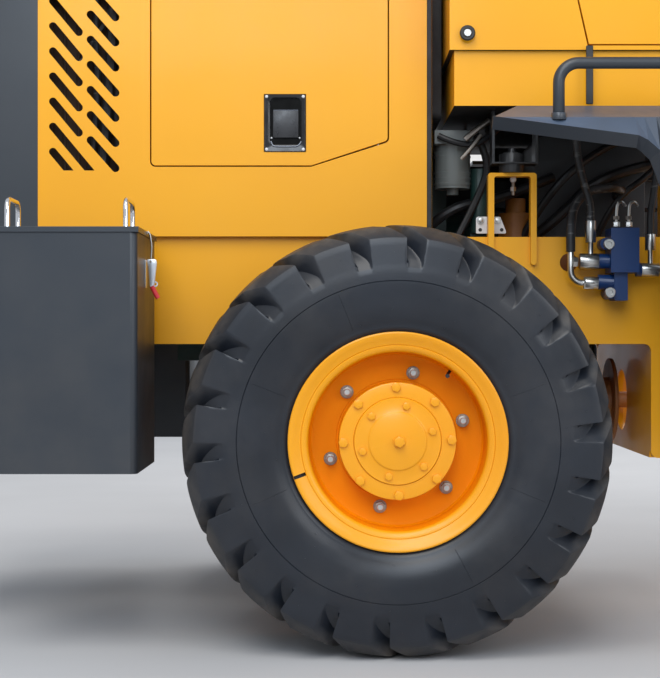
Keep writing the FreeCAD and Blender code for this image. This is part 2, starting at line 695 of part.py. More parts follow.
cross_plate = plate(
    "cross_plate", "yz",
    [("-frame_inner", "hinge_low"), ("frame_inner", "hinge_low"),
     ("frame_inner", "frame_top - 20"), ("-frame_inner", "frame_top - 20")],
    ("-405", "-385"), circles=[("0", "driveline_height", "95")])
cylinder_window = both([box("cylinder_window", ("-420", "-370"), ("-430", "-215"),
                            ("steer_height - 62", "steer_height + 62"))])
rear_pieces = both([
    side_plate(),
    cut("axle_saddle", box("saddle_block", ("rear_axle - 90", "rear_axle + 90"),
                           ("-frame_inner", "-frame_inner + 90"), ("tyre_radius", "frame_low + 20")),
        [rod("saddle_room", "y", ("rear_axle", "tyre_radius"), ("-wheel_offset", "0"),
             "axle_tube_radius + 0.3"),
         box("saddle_trim", ("rear_axle - 91", "rear_axle + 91"),
             ("-frame_inner - 1", "-frame_inner + 91"), ("tyre_radius - 1", "tyre_radius + 40"))]),
    box("box_bracket_front", ("rear_axle - 760", "rear_axle - 735"),
        ("-box_inner", "-frame_half"), ("820", "960")),
    box("box_bracket_rear", ("rear_axle - 1010", "rear_axle - 985"),
        ("-box_inner", "-frame_half"), ("870", "960")),
    plate("mount_bar", "xz", [
        ("rear_axle + mount_bar_rear", "mount_bar_low"),
        ("rear_axle + mount_bar_rear", "mount_bar_top"),
        ("rear_axle + mount_bar_front", "mount_bar_top"),
        ("rear_axle + mount_bar_front", "mount_bar_low"),
        ("rear_axle + mount_bar_front - 17", "mount_bar_low"),
        ("rear_axle + mount_bar_front - 17", "mount_bar_top - 10"),
        ("rear_axle + mount_bar_rear + 17", "mount_bar_top - 10"),
        ("rear_axle + mount_bar_rear + 17", "mount_bar_low")],
        ("-frame_half - 16", "-frame_inner"), rounding="8"),
    box("front_pedestal", ("rear_axle + 780", "rear_axle + 845"),
        ("-frame_inner - 5", "-frame_inner + 60"), ("frame_top - 40", "1400")),
])
steer_ears = both([
    plate(f"steer_ear_{level}", "xy",
          [("-steer_base_back - 60", "-frame_inner"), ("-steer_base_back + 60", "-frame_inner"),
           ("-steer_base_back + 38", "-steer_base_offset + 38"),
           ("-steer_base_back - 38", "-steer_base_offset + 38")],
          ends)
    for level, ends in (("lower", ("steer_height - 57", "steer_height - 39")),
                        ("upper", ("steer_height + 39", "steer_height + 57")))
])
steer_pins = both([rod("steer_base_pin", "z", ("-steer_base_back", "-steer_base_offset"),
                       ("steer_height - 60", "steer_height + 60"), "20")])
node("rear_frame", rear_pieces + steer_ears + steer_pins + [
    cut("cross_plate_cut", cross_plate, cylinder_window),
    rear_hinge_plate("upper_hinge_plate", "upper_hinge"),
    rear_hinge_plate("lower_hinge_plate", "lower_hinge"),
    box("rear_cross", ("rear_axle - 1130", "rear_axle - 1105"),
        ("-frame_inner", "frame_inner"), ("frame_low + 40", "frame_top - 20")),
    box("engine_cross", ("rear_axle - 830", "rear_axle - 790"),
        ("-frame_inner", "frame_inner"), ("frame_low", "frame_low + 90")),
])


# Rear end: counterweight, engine, hood and cowl

weight = plate(
    "weight_block", "xz",
    [("rear_axle - weight_rear", "weight_low + 160"),
     ("rear_axle - weight_rear + 120", "weight_low"),
     ("rear_axle - weight_front", "weight_low"), ("rear_axle - weight_front", "frame_low - 0.3"),
     ("rear_axle - frame_rear - 0.3", "frame_low - 0.3"),
     ("rear_axle - frame_rear - 0.3", "frame_top"),
     ("rear_axle - weight_rear + 30", "frame_top"),
     ("rear_axle - weight_rear", "frame_top - 60")],
    ("-weight_half", "weight_half"))
hitch_slot = box("hitch_slot", ("rear_axle - weight_rear - 1", "rear_axle - weight_rear + 110"),
                 ("-90", "90"), ("760", "830"))
hitch_bore = rod("hitch_bore", "z", ("rear_axle - weight_rear + tow_pin_inset", "0"),
                 ("tow_pin_foot", "frame_top + 1"), "tow_pin_bore")
shape_node("counterweight", cut("counterweight_cut", weight, [hitch_slot, hitch_bore]))

engine = [
    box("engine_block", ("rear_axle - 760", "rear_axle + 180"), ("-190", "190"), ("800", "1300")),
    box("engine_sump", ("rear_axle - 640", "rear_axle + 60"), ("-140", "140"), ("745", "800")),
    rod("bell_housing", "x", ("0", "960"), ("rear_axle + 180", "rear_axle + 300"), "240"),
    box("engine_head", ("rear_axle - 740", "rear_axle + 160"), ("-150", "150"), ("1300", "1400")),
]
engine += [
    rod("oil_filter", "z", ("rear_axle + 266", "-340"), ("frame_top + 20", "1310"), "26"),
    box("oil_filter_arm", ("rear_axle + 240", "rear_axle + 292"), ("-340", "-120"),
        ("frame_top + 10", "frame_top + 40")),
]
node("engine", engine + both([
    box("engine_foot", ("rear_axle - 520", "rear_axle - 440"), ("-frame_inner", "-190"),
        ("830", "860"))]))


def hood_shell(name, inset, low, over):
    """Hood as a block with round upper edges, inset and running over its ends for a hollow."""
    half = f"(hood_half - {inset})"
    return plate(name, "yz",
                 [(f"-{half}", low), (half, low),
                  (half, f"hood_top - {inset}"), (f"-{half}", f"hood_top - {inset}")],
                 (f"rear_axle - hood_rear - {over}", f"rear_axle + hood_front + {over}"),
                 rounding=f"hood_round - {inset}", edges=lambda middle: middle.z > 1500)


def engine_door_outline(gap):
    return [
        (f"rear_axle - engine_door_rear + {gap}", f"engine_door_low + {gap}"),
        (f"rear_axle - engine_door_slant + {gap} / 3", f"engine_door_low + {gap}"),
        (f"rear_axle - engine_door_front - {gap}",
         f"engine_door_low + engine_door_rise + {gap}"),
        (f"rear_axle - engine_door_front - {gap}", f"engine_door_top - {gap}"),
        (f"rear_axle - engine_door_rear + {gap}", f"engine_door_top - {gap}"),
    ]


door_opening = plate("engine_door_opening", "xz", engine_door_outline("0"),
                     ("-hood_half - 20", "-hood_half + 60"), rounding="16")


def slot(name, upper, run, fall, level=None):
    """A sloping louvre slot below its upper round end; a level cut may end it early."""
    half = size("slot_width") / 2
    share = half / math.hypot(run, fall)
    across, up = upper
    ends = [(across, up)]
    if level is None:
        lower = [(across + run + fall * share, up - fall + run * share),
                 (across + run - fall * share, up - fall - run * share)]
        ends.append((across + run, up - fall))
    else:
        lower = [(across + side * fall * share + run * (up + side * run * share - level) / fall,
                  level) for side in (1, -1)]
    corners = [(across - fall * share, up - run * share),
               (across + fall * share, up + run * share)] + lower
    depth = ("-hood_half - 20", "-hood_half + 60")
    bar = plate(name + "_bar", "xz", [spot(corner) for corner in corners], depth)
    return [bar] + [rod(f"{name}_end_{number}", "y", spot(place), depth, "slot_width / 2")
                    for number, place in enumerate(ends)]


SLOT_COLUMNS = (
    # rear axle back to the upper ends, height of the lowest, run, fall, slots
    (961, 1487, 74, 89, 5),
    (854, 1377, 71, 80, 7),
)
slots = []
for column, (back, low, run, fall, count) in enumerate(SLOT_COLUMNS):
    across = size("rear_axle") - back
    for row in range(count):
        slots += slot(f"slot_{column}_{row}", (across, low + row * size("slot_pitch")), run, fall)
    for row in range(1, 3 if column == 0 else 1):
        slots += slot(f"slot_low_{row}", (across, low - row * size("slot_pitch")), run, fall,
                      size("slot_level"))
slot_recess = box("slot_recess", ("rear_axle - 990", "rear_axle - 765"),
                  ("-hood_half + slot_sheet", "-hood_half + hood_wall + 1"), ("1270", "1835"))
hood_outer = hood_shell("hood_outer", "0", "frame_top", "0")
hood_hollow = hood_shell("hood_hollow", "hood_wall", "frame_top - 50", "1")
hood_walls = cut("hood_walls", hood_outer, [hood_hollow])
hood_openings = cut("hood_openings", hood_walls, both([door_opening, slot_recess]))
right_slots = group("slots", slots)
hood_slotted = cut("hood_slotted", cut("hood_slotted_right", hood_openings, [right_slots]),
                   [mirror(right_slots)])
door_axis = ("-hood_half - hinge_offset", "engine_door_top - 2")
hood_spots = ("rear_axle - engine_door_rear + 90", "rear_axle - engine_door_front - 150")
door_barrels, hood_barrels = hinge_barrels("engine_door", "x", door_axis, hood_spots,
                                           "hinge_offset - 1", "45")
door_leaves = [box(f"engine_door_leaf_{number}", (place, f"{place} + 45"),
                   ("-hood_half - 5", "-hood_half"),
                   ("engine_door_top - 30", "engine_door_top - 2"))
               for number, place in enumerate(hood_spots)]
hood_leaves = [box(f"hood_leaf_{number}", (f"{place} - 45.3", f"{place} - 0.3"),
                   ("-hood_half - 5", "-hood_half"),
                   ("engine_door_top - 2", "engine_door_top + 26"))
               for number, place in enumerate(hood_spots)]

handle_recess = box("latch_recess", ("rear_axle - 361", "rear_axle - 241"),
                    ("-hood_half - 1", "-hood_half + 12"), ("1343", "1508"))
latch = box("latch_paddle", ("rear_axle - 335", "rear_axle - 267"),
            ("-hood_half + 6", "-hood_half + 12"), ("1380", "1470"))
door_panel = plate("engine_door_panel", "xz", engine_door_outline("door_gap"),
                   ("-hood_half", "-hood_half + hood_wall"), rounding="12")
right_door = fuse("engine_door_form", [cut("engine_door_cut", door_panel, [handle_recess]), latch]
                  + door_barrels + door_leaves)
node("hood", [hood_slotted] + both(hood_barrels + hood_leaves))
shape_node("engine_door_right", right_door)
shape_node("engine_door_left", mirror(right_door))

cowl = plate(
    "cowl_outer", "xy",
    [("rear_axle - cowl_rear", "-hood_half + 60"), ("rear_axle - cowl_rear", "hood_half - 60"),
     ("rear_axle - cowl_rear + 60", "hood_half"), ("rear_axle - hood_rear", "hood_half"),
     ("rear_axle - hood_rear", "-hood_half"), ("rear_axle - cowl_rear + 60", "-hood_half")],
    ("frame_top", "cowl_top"), rounding="40",
    edges=lambda middle: middle.x < size("rear_axle") - size("hood_rear") - 100)
cowl_hollow = box("cowl_hollow", ("rear_axle - cowl_rear + 40", "rear_axle - hood_rear + 1"),
                  ("-hood_half + 40", "hood_half - 40"), ("frame_top - 1", "cowl_top - 40"))
grille_window = box("grille_window", ("rear_axle - cowl_rear - 1", "rear_axle - cowl_rear + 41"),
                    ("-340", "340"), ("1220", "1840"))
grille_bars = [box(f"grille_bar_{row}", ("rear_axle - cowl_rear + 8", "rear_axle - cowl_rear + 30"),
                   ("-340", "340"), (f"1220 + {row} * 62 - 8", f"1220 + {row} * 62 + 8"))
               for row in range(1, 10)]
node("rear_cowl", [cut("cowl_cut", cowl, [cowl_hollow, grille_window])] + grille_bars)
shape_node("radiator", box("radiator_core", ("rear_axle - 1180", "rear_axle - 1090"),
                           ("-400", "400"), ("frame_top - 20", "1860")))

exhaust = [
    rod("exhaust_pipe", "z", ("rear_axle - 300", "250"), ("hood_top", "2420"), "38"),
    rod("exhaust_muffler", "z", ("rear_axle - 300", "250"), ("2020", "2280"), "75"),
    rod("exhaust_foot", "z", ("rear_axle - 300", "250"), ("hood_top", "hood_top + 12"), "70"),
]
intake = [
    rod("intake_pipe", "z", ("rear_axle - 640", "-250"), ("hood_top", "2140"), "45"),
    rod("intake_bowl", "z", ("rear_axle - 640", "-250"), ("2120", "2240"), "95"),
]
shape_node("exhaust_stack", fuse("exhaust_form", exhaust))
shape_node("air_intake", fuse("intake_form", intake))


# Side boxes with their lids and bails

outer_box = plate("side_box_outer", "xy",
                  [("rear_axle - box_rear", "-box_outer"), ("rear_axle - box_front", "-box_outer"),
                   ("rear_axle - box_front", "-box_inner"), ("rear_axle - box_rear", "-box_inner")],
                  ("box_low", "box_top"), rounding="box_round")
hollow_box = box("side_box_hollow",
                 ("rear_axle - box_rear + box_wall", "rear_axle - box_front - box_wall"),
                 ("-box_outer + box_wall", "-box_inner - box_wall"),
                 ("box_low + box_wall", "box_top + 1"))
box_form = cut("side_box_form", outer_box, [hollow_box])
battery = box("battery", ("rear_axle - box_rear + 60", "rear_axle - box_front - 60"),
              ("-box_outer + 60", "-box_inner - 60"), ("box_low + box_wall", "box_low + 260"))
lid_axis = ("rear_axle - box_rear - lid_hinge_back", "box_top + lid_gap + lid_thickness / 2")
lid_spots = ("-box_outer + 90", "-box_inner - 110")
lid_barrels, box_barrels = hinge_barrels("lid", "y", lid_axis, lid_spots,
                                         "lid_hinge_back - 5", "40")
lid_leaves = [box(f"lid_leaf_{number}", ("rear_axle - box_rear - lid_hinge_back",
                                         "rear_axle - box_rear"), (place, f"{place} + 40"),
                  ("box_top + lid_gap + 1", "box_top + lid_gap + lid_thickness - 1"))
              for number, place in enumerate(lid_spots)]
box_leaves = [box(f"box_leaf_{number}", ("rear_axle - box_rear - lid_hinge_back",
                                         "rear_axle - box_rear"),
                  (f"{place} - 40.3", f"{place} - 0.3"), ("box_top - 40", "box_top - 1"))
              for number, place in enumerate(lid_spots)]
hinged_box = fuse("hinged_box", [box_form] + box_barrels + box_leaves)
node("side_boxes", [hinged_box, battery, mirror(hinged_box)], joined=False)

lid = box("lid_plate", ("rear_axle - box_rear - 4", "rear_axle - box_front + 4"),
          ("-box_outer - 4", "-box_inner + 4"),
          ("box_top + lid_gap", "box_top + lid_gap + lid_thickness"))


def bail(number):
    """A round bail standing on the lid, across the machine."""
    place = size("rear_axle") - size("bail_front") - number * size("bail_step")
    base = size("box_top") + size("lid_gap") + size("lid_thickness")
    near = -size("box_outer") + 60
    far = near + size("bail_width")
    top = base + size("bail_height")
    return bent_rod(f"bail_{number}", [(place, near, base - 2), (place, near, top),
                                       (place, far, top), (place, far, base - 2)],
                    size("bail_radius"), 28)


right_lid = fuse("lid_form", [lid, bail(0), bail(1)] + lid_barrels + lid_leaves)
shape_node("box_lid_right", right_lid)
shape_node("box_lid_left", mirror(right_lid))


# Cab

def cab_plan(inset):
    """Plan of the cab, inset inward from its outer face."""
    return [
        (f"rear_axle + cab_rear + {inset}", f"-cab_half + {inset}"),
        (f"-cab_corner - {inset} * 0.35", f"-cab_half + {inset}"),
        (f"cab_nose - {inset}", f"-cab_nose_half + {inset} * 0.35"),
        (f"cab_nose - {inset}", f"cab_nose_half - {inset} * 0.35"),
        (f"-cab_corner - {inset} * 0.35", f"cab_half - {inset}"),
        (f"rear_axle + cab_rear + {inset}", f"cab_half - {inset}"),
    ]


def cab_ring(name, low, high, inset="0", wall="cab_wall"):
    ring = plate(name, "xy", cab_plan(inset), (low, high))
    hollow = plate(name + "_hollow", "xy", cab_plan(f"({inset} + {wall})"),
                   (f"{low} - 1", f"{high} + 1"))
    return cut(name + "_ring", ring, [hollow])


floor = plate("cab_floor_plate", "xy", cab_plan("(cab_inset + 1)"),
              ("cab_low", "cab_low + cab_floor"))
low_walls = cab_ring("low_walls", "cab_low", "cab_crease", "cab_inset", "cab_wall - cab_inset")
low_ledge = cab_ring("low_ledge", "cab_crease", "cab_door_low - door_gap")
tall_walls = cab_ring("tall_walls", "cab_door_low - door_gap", "cab_sill")
tall_front = plate("tall_front", "xz", [
    ("rear_axle + cab_door_rear - door_gap", "cab_low"),
    ("rear_axle + cab_door_rear - door_gap", "cab_door_low - door_gap"),
    ("rear_axle + cab_door_back - door_gap", "cab_door_bend"),
    ("rear_axle + cab_door_back - door_gap", "cab_sill + 50"),
    ("cab_nose + 100", "cab_sill + 50"), ("cab_nose + 100", "cab_low")],
    ("-cab_half - 50", "cab_half + 50"))
front_walls = cab_ring("front_walls", "cab_door_low - door_gap", "cab_front_sill")
front_rear = box("front_rear", ("rear_axle", "-cab_door_front + door_gap"),
                 ("-cab_half - 50", "cab_half + 50"), ("cab_low", "cab_sill + 50"))
mount_spot = ("rear_axle + (mount_bar_rear + mount_bar_front) / 2", "-frame_half + 5")
strap = [(f"rear_axle + {across}", height) for across, height in (
    ("mount_bar_rear + 9", "mount_bar_top + 24"), ("mount_bar_front + 2", "mount_bar_top + 24"),
    ("mount_bar_front + 2", "cab_low"), ("mount_bar_front - 6", "cab_low"),
    ("mount_bar_front - 6", "mount_bar_top + 29"), ("mount_bar_rear + 17", "mount_bar_top + 29"),
    ("mount_bar_rear + 17", "cab_low"), ("mount_bar_rear + 9", "cab_low"))]
rear_mount = fuse("rear_mount", [
    plate("mount_strap", "xz", strap, ("-frame_half - 35", "-frame_half + 45")),
    rod("lower_rubber", "z", mount_spot, ("mount_bar_top + 0.3", "mount_bar_top + 24"), "36"),
    rod("upper_rubber", "z", mount_spot, ("mount_bar_top + 29", "mount_bar_top + 55"), "36"),
    rod("mount_washer", "z", mount_spot, ("mount_bar_top + 55", "mount_bar_top + 60"), "24"),
    rod("mount_bolt", "z", mount_spot, ("mount_bar_top + 60", "mount_bar_top + 72"), "11"),
])
front_mount = rod("front_mount", "z", ("rear_axle + 812", "-frame_inner + 28"),
                  ("1400.3", "cab_low"), "30")
node("cab_mounts", both([rear_mount, front_mount]), joined=False)

posts = both([
    box("rear_post", ("rear_axle + cab_rear", "rear_axle + cab_rear + post"),
        ("-cab_half", "-cab_half + post"), ("cab_sill", "cab_header")),
    box("door_post", ("rear_axle + cab_door_back - door_gap - post",
                      "rear_axle + cab_door_back - door_gap"),
        ("-cab_half", "-cab_half + cab_wall"), ("cab_sill", "cab_header")),
])
header = cab_ring("header", "cab_header", "cab_eaves")
corner_cut = cab_ring("corner", "cab_front_sill", "cab_header")
corner_keep = both([
    box("side_corner", ("-cab_door_front + door_gap", "-cab_corner + 40"),
        ("-cab_half - 10", "-cab_half + 90"), ("cab_front_sill", "cab_header")),
    box("nose_corner", ("cab_nose - 60", "cab_nose + 10"),
        ("-cab_nose_half - 60", "-cab_nose_half + 40"), ("cab_front_sill", "cab_header")),
])
front_posts = doc.addObject("Part::MultiCommon", "front_posts")
front_posts.Shapes = [corner_cut, fuse("corner_blocks", corner_keep)]

roof = plate("roof_panel", "xy", cab_plan("(0 - roof_reach)"), ("cab_eaves", "roof_top"))
shape_node("cab_roof", roof)

door_frame = plate("door_frame", "xz", [
    ("rear_axle + cab_door_rear", "cab_door_low"), ("-cab_door_front", "cab_door_low"),
    ("-cab_door_front", "cab_header - door_gap"),
    ("rear_axle + cab_door_back", "cab_header - door_gap"),
    ("rear_axle + cab_door_back", "cab_door_bend")],
    ("-cab_half", "-cab_half + cab_wall"))
door_window = box("door_window", ("rear_axle + cab_door_rear + 55", "-cab_door_front - 55"),
                  ("-cab_half - 1", "-cab_half + cab_wall + 1"),
                  ("cab_door_low + 150", "cab_header - 60"))
door_handle = box("door_handle", ("-cab_door_front - 46", "-cab_door_front - 14"),
                  ("-cab_half - 30", "-cab_half"), ("1960", "2120"))
cab_axis = ("rear_axle + cab_door_back - 2", "-cab_half - hinge_offset")
cab_spots = ("cab_sill - 10", "cab_header - 220")
cab_door_barrels, post_barrels = hinge_barrels("cab_door", "z", cab_axis, cab_spots,
                                               "hinge_offset - 1", "50")
cab_door_leaves = [box(f"cab_door_leaf_{number}",
                       ("rear_axle + cab_door_back - 2", "rear_axle + cab_door_back + 34"),
                       ("-cab_half - 5", "-cab_half"), (place, f"{place} + 50"))
                   for number, place in enumerate(cab_spots)]
post_leaves = [box(f"post_leaf_{number}",
                   ("rear_axle + cab_door_back - 36", "rear_axle + cab_door_back - 2"),
                   ("-cab_half - 5", "-cab_half"), (f"{place} - 50.3", f"{place} - 0.3"))
               for number, place in enumerate(cab_spots)]
cab_door = fuse("cab_door_form", [cut("cab_door_cut", door_frame, [door_window]), door_handle]
                + cab_door_barrels + cab_door_leaves)
door_glass = box("door_glass", ("rear_axle + cab_door_rear + 55", "-cab_door_front - 55"),
                 ("-cab_half + 12", "-cab_half + 12 + glass"),
                 ("cab_door_low + 150", "cab_header - 60"))
low_hinge = [post_barrels[0], post_leaves[0]]
high_hinge = [post_barrels[1], post_leaves[1]]
node("cab_base", [floor, low_walls, low_ledge, cut("rear_walls", tall_walls, [tall_front]),
                  cut("nose_walls", front_walls, [front_rear])] + both(low_hinge))
node("cab_frame", posts + [header, front_posts] + both(high_hinge))
for side, turn in (("right", lambda piece: piece), ("left", mirror)):
    shape_node(f"cab_door_{side}", turn(cab_door))
    shape_node(f"cab_door_glass_{side}", turn(door_glass))

rear_glass = box("rear_glass", ("rear_axle + cab_rear + 15", "rear_axle + cab_rear + 15 + glass"),
                 ("-cab_half + post", "cab_half - post"), ("cab_sill", "cab_header"))
nose_glass = box("nose_glass", ("cab_nose - 15 - glass", "cab_nose - 15"),
                 ("-cab_nose_half + 40", "cab_nose_half - 40"), ("cab_front_sill", "cab_header"))
side_glass = box("side_glass", ("rear_axle + cab_rear + post",
                                "rear_axle + cab_door_back - door_gap - post"),
                 ("-cab_half + 12", "-cab_half + 12 + glass"), ("cab_sill", "cab_header"))
cheek_pane = plate("cheek_pane", "xy",
                   [(x, y) for x, y in (cab_plan("12")[1], cab_plan("12")[2],
                                        cab_plan("(12 + glass)")[2], cab_plan("(12 + glass)")[1])],
                   ("cab_front_sill", "cab_header"))
cheek_glass = cut("cheek_glass", cheek_pane, corner_keep[:2])
node("cab_windows", [rear_glass, nose_glass] + both([side_glass, cheek_glass]), joined=False)

seat_base = box("seat_base", ("-720", "-420"), ("-170", "170"), ("cab_low + cab_floor", "1760"))
shape_node("seat_base", seat_base)
shape_node("seat_cushion", plate(
    "seat_form", "xz",
    [("-770", "1760.3"), ("-330", "1760.3"), ("-320", "1880"), ("-660", "1880"),
     ("-720", "2320"), ("-810", "2320")], ("-235", "235"), rounding="25"))
console = [
    box("console_column", ("60", "120"), ("-60", "60"), ("cab_low + cab_floor", "1980")),
    box("console_head", ("20", "130"), ("-150", "150"), ("1940", "2060")),
    box("side_console", ("-700", "-420"), ("-400", "-250"), ("cab_low + cab_floor", "1900")),
    box("side_lever", ("-480", "-465"), ("-340", "-325"), ("1900", "2030")),
]
wheel = turned("steering_ring", [("-12", "178"), ("-12", "202"), ("12", "202"), ("12", "178")],
               ("0", "0", "0"), along="z")
spoke = box("steering_spokes", ("-180", "180"), ("-14", "14"), ("-6", "6"))
stem = rod("steering_stem", "z", ("0", "0"), ("-89", "12"), "16")
steering = fuse("steering_form", [wheel, spoke, stem])
steering.Placement = FreeCAD.Placement(Vector(-20, 0, 2140), FreeCAD.Rotation(Vector(0, 1, 0), -25))
node("controls", [*console, steering], joined=False)


# Platforms, steps and handrails

MUDGUARD_ROWS = (
    # forward of the rear axle: deck, crease, outer edge; height of that edge; its lip's run, drop
    (331, 252, 247, 1386, 0, 30),
    (622, 622, 622, 1337, 0, 30),
    (646, 646, 646, 1325, -12, 27),
    (677, 677, 677, 1298, -20, 22),
    (740, 740, 722, 1190, -28, 10),
    (800, 800, 772, 860, -30, 4),
    (800, 800, 800, 480, -30, 0),
)


def mudguard():
    """Deck beside the cab, its two slanting flanks and the lip along its outer edge."""
    inner_edge, shoulder, crease, edge = (-size(name) for name in (
        "platform_inner", "deck_edge", "mudguard_crease", "platform_outer"))
    deck, fold, sheet = size("deck_height"), size("crease_height"), size("platform_sheet")
    outer, inner = [], []
    for along_deck, along_fold, along_edge, edge_height, lip_run, lip_drop in MUDGUARD_ROWS:
        across_deck, across_fold, across_edge = (
            size("rear_axle") + along for along in (along_deck, along_fold, along_edge))
        lip_end = across_edge + lip_run
        outer.append([
            Vector(across_deck, inner_edge, deck), Vector(across_deck, shoulder, deck),
            Vector(across_fold, crease, fold), Vector(across_edge, edge, edge_height),
            Vector(lip_end, edge + 34, edge_height - lip_drop)])
        inner.append([
            Vector(across_deck, inner_edge, deck - sheet),
            Vector(across_deck, shoulder + 3, deck - sheet),
            Vector(across_fold, crease + 5, fold - sheet),
            Vector(across_edge + lip_run / 5, edge + sheet, edge_height - 2),
            Vector(lip_end, edge + 34 + sheet, edge_height - lip_drop + 5)])
    return bent_sheet("mudguard", outer, inner)


platform_parts = [mudguard()]
platform_parts.append(box("platform_wall", ("rear_axle + platform_front - platform_sheet",
                                            "rear_axle + platform_front"),
                          ("-platform_outer", "-platform_inner"), ("platform_low", "deck_height")))
for number in range(3):
    step = f"platform_low + {number} * step_pitch"
    platform_parts.append(box(f"step_{number}",
                              ("rear_axle + platform_front",
                               "rear_axle + platform_front + step_reach"),
                              ("-platform_outer", "-platform_inner"), (step, f"{step} + 20")))
platform_parts += [
    plate(f"step_cheek_{number}", "xz",
          [("rear_axle + platform_front", "platform_low"),
           ("rear_axle + platform_front + step_reach", "platform_low"),
           ("rear_axle + platform_front + step_reach", "platform_low + 2 * step_pitch + 30"),
           ("rear_axle + platform_front", "platform_low + 2 * step_pitch + 110")],
          (place, f"{place} + 10"))
    for number, place in enumerate(("-platform_outer", "-platform_inner - 10"))
]
platform_parts.append(box("platform_arm", ("rear_axle + 772", "rear_axle + 792"),
                          ("-platform_inner - 60", "-frame_half - 0.3"), ("880", "960")))
platform_parts.append(box("platform_web", ("rear_axle + 772", "rear_axle + platform_front - 6"),
                          ("-platform_inner - 60", "-platform_inner - 48"), ("880", "960")))
platform_parts.append(rod("rail_foot", "z", ("rear_axle + rail_rear", "-rail_offset"),
                          ("crease_height - 8", "rail_seat"), "20"))
platform = fuse("platform_form", platform_parts)
node("platforms", both([platform]), joined=False)


def handrail():
    rear = size("rear_axle") + size("rail_rear")
    front = size("rear_axle") + size("platform_front") + 60
    offset = -size("rail_offset")
    foot = size("rail_seat") + 0.3
    low = size("platform_low") + 2 * size("step_pitch") + 20.3
    return bent_rod("handrail_form", [
        (rear, offset, foot), (rear, offset, size("rail_height")),
        (front, offset, size("rail_height")), (front, offset, low)],
        size("rail_radius"), 52)


rail = handrail()
node("handrails", both([rail]), joined=False)


# Steering valve, filter and hoses beside the transmission

valve_front = "-frame_half - valve_depth"
port_line = "-frame_half - 55"
valve = [
    box("valve_body", ("rear_axle + valve_rear", "rear_axle + valve_rear + valve_length"),
        (valve_front, "-frame_half"), ("valve_low", "valve_low + valve_height")),
    box("valve_foot", ("rear_axle + valve_rear + 12", "rear_axle + valve_rear + 50"),
        (f"{valve_front} + 20", "-frame_half"), ("valve_low - 78", "valve_low")),
]
for name, height, radius, ends in (
        ("upper_port", 1031, 21, (585, 614)), ("lower_port", 972, 21, (584, 630)),
        ("front_port", 1007, 19, (690, 706))):
    valve.append(rod(name, "x", (port_line, str(height)),
                     tuple(f"rear_axle + {along}" for along in ends), str(radius)))
for name, along, height in (("upper_plug", 606, 1080), ("lower_plug", 618, 941)):
    valve.append(rod(name, "y", (f"rear_axle + {along}", str(height)),
                     ("-frame_half - 70", "-frame_half"), "17"))
node("steering_valve", valve)
filter_place = ("rear_axle + 187", "-frame_half + 130")
node("fuel_filter", [
    rod("filter_canister", "z", filter_place, ("filter_low", "filter_low + filter_height"),
        "filter_radius"),
    rod("filter_nut", "z", filter_place, ("filter_low - 25", "filter_low"), "18"),
    box("filter_head", ("rear_axle + 130", "rear_axle + 244"),
        ("-frame_half + 75", "-150"),
        ("filter_low + filter_height", "filter_low + filter_height + 40")),
])
shape_node("hydraulic_tank", plate("tank_form", "xz", [
    ("rear_axle + tank_rear", "gearbox_top + 0.3"),
    ("rear_axle + tank_rear + 340", "gearbox_top + 0.3"),
    ("rear_axle + tank_rear + 340", "cab_low - 29"), ("rear_axle + tank_rear", "cab_low - 29")],
    ("-tank_half", "tank_half + 190"), rounding="25"))

FITTINGS = (
    # name, forward of the rear axle, port's height and radius, its block's ends, sleeve's ends
    ("upper", 563, 1031, 22, (532, 584.7), (1084, 1145)),
    ("front", 732, 1007, 19, (706.3, 756), (1062, 1107)),
)
fittings = []
for name, along, height, radius, block, sleeve in FITTINGS:
    line = (f"rear_axle + {along}", port_line)
    fittings.append(fuse(name + "_fitting", [
        rod(name + "_banjo", "x", (port_line, str(height)),
            tuple(f"rear_axle + {end}" for end in block), str(radius)),
        rod(name + "_neck", "z", line, (str(height), str(sleeve[0])), "7"),
        rod(name + "_sleeve", "z", line, tuple(str(end) for end in sleeve), "15")]))


def route(points):
    """Points of a hose from (forward of the rear axle, out from the frame, height)."""
    return [(size("rear_axle") + along, -size("frame_half") - out, height)
            for along, out, height in points]


elbow = bent_rod("elbow_pipe", route([(507, 55, 1058), (507, 55, 970), (552, 55, 970)]), 9, 34)
elbow_nut = rod("elbow_nut", "x", (port_line, "970"), ("rear_axle + 547", "rear_axle + 583.7"),
                "17.5")
node("hose_fittings", fittings + [fuse("elbow_fitting", [elbow, elbow_nut])], joined=False)
HOSES = (
    # name, radius, route
    ("upper_hose", 10.5, [(563, 55, 1145.3), (563, 55, 1190), (545, 60, 1245), (528, 62, 1310),
                          (520, 60, 1390), (520, 60, 1458.7)]),
    ("lower_hose", 13, [(507, 55, 1058.3), (507, 55, 1120), (519, 22, 1190), (565, 0, 1237),
                        (648, -50, 1250), (700, -180, 1250), (702, -329.7, 1250)]),
    ("front_hose", 10, [(732, 55, 1107.3), (732, 55, 1160), (744, 60, 1240), (755, 70, 1350),
                        (755, 70, 1458.7)]),
)
node("hydraulic_hoses", [bent_rod(name, route(points), radius) for name, radius, points in HOSES],
     joined=False)


# Front frame

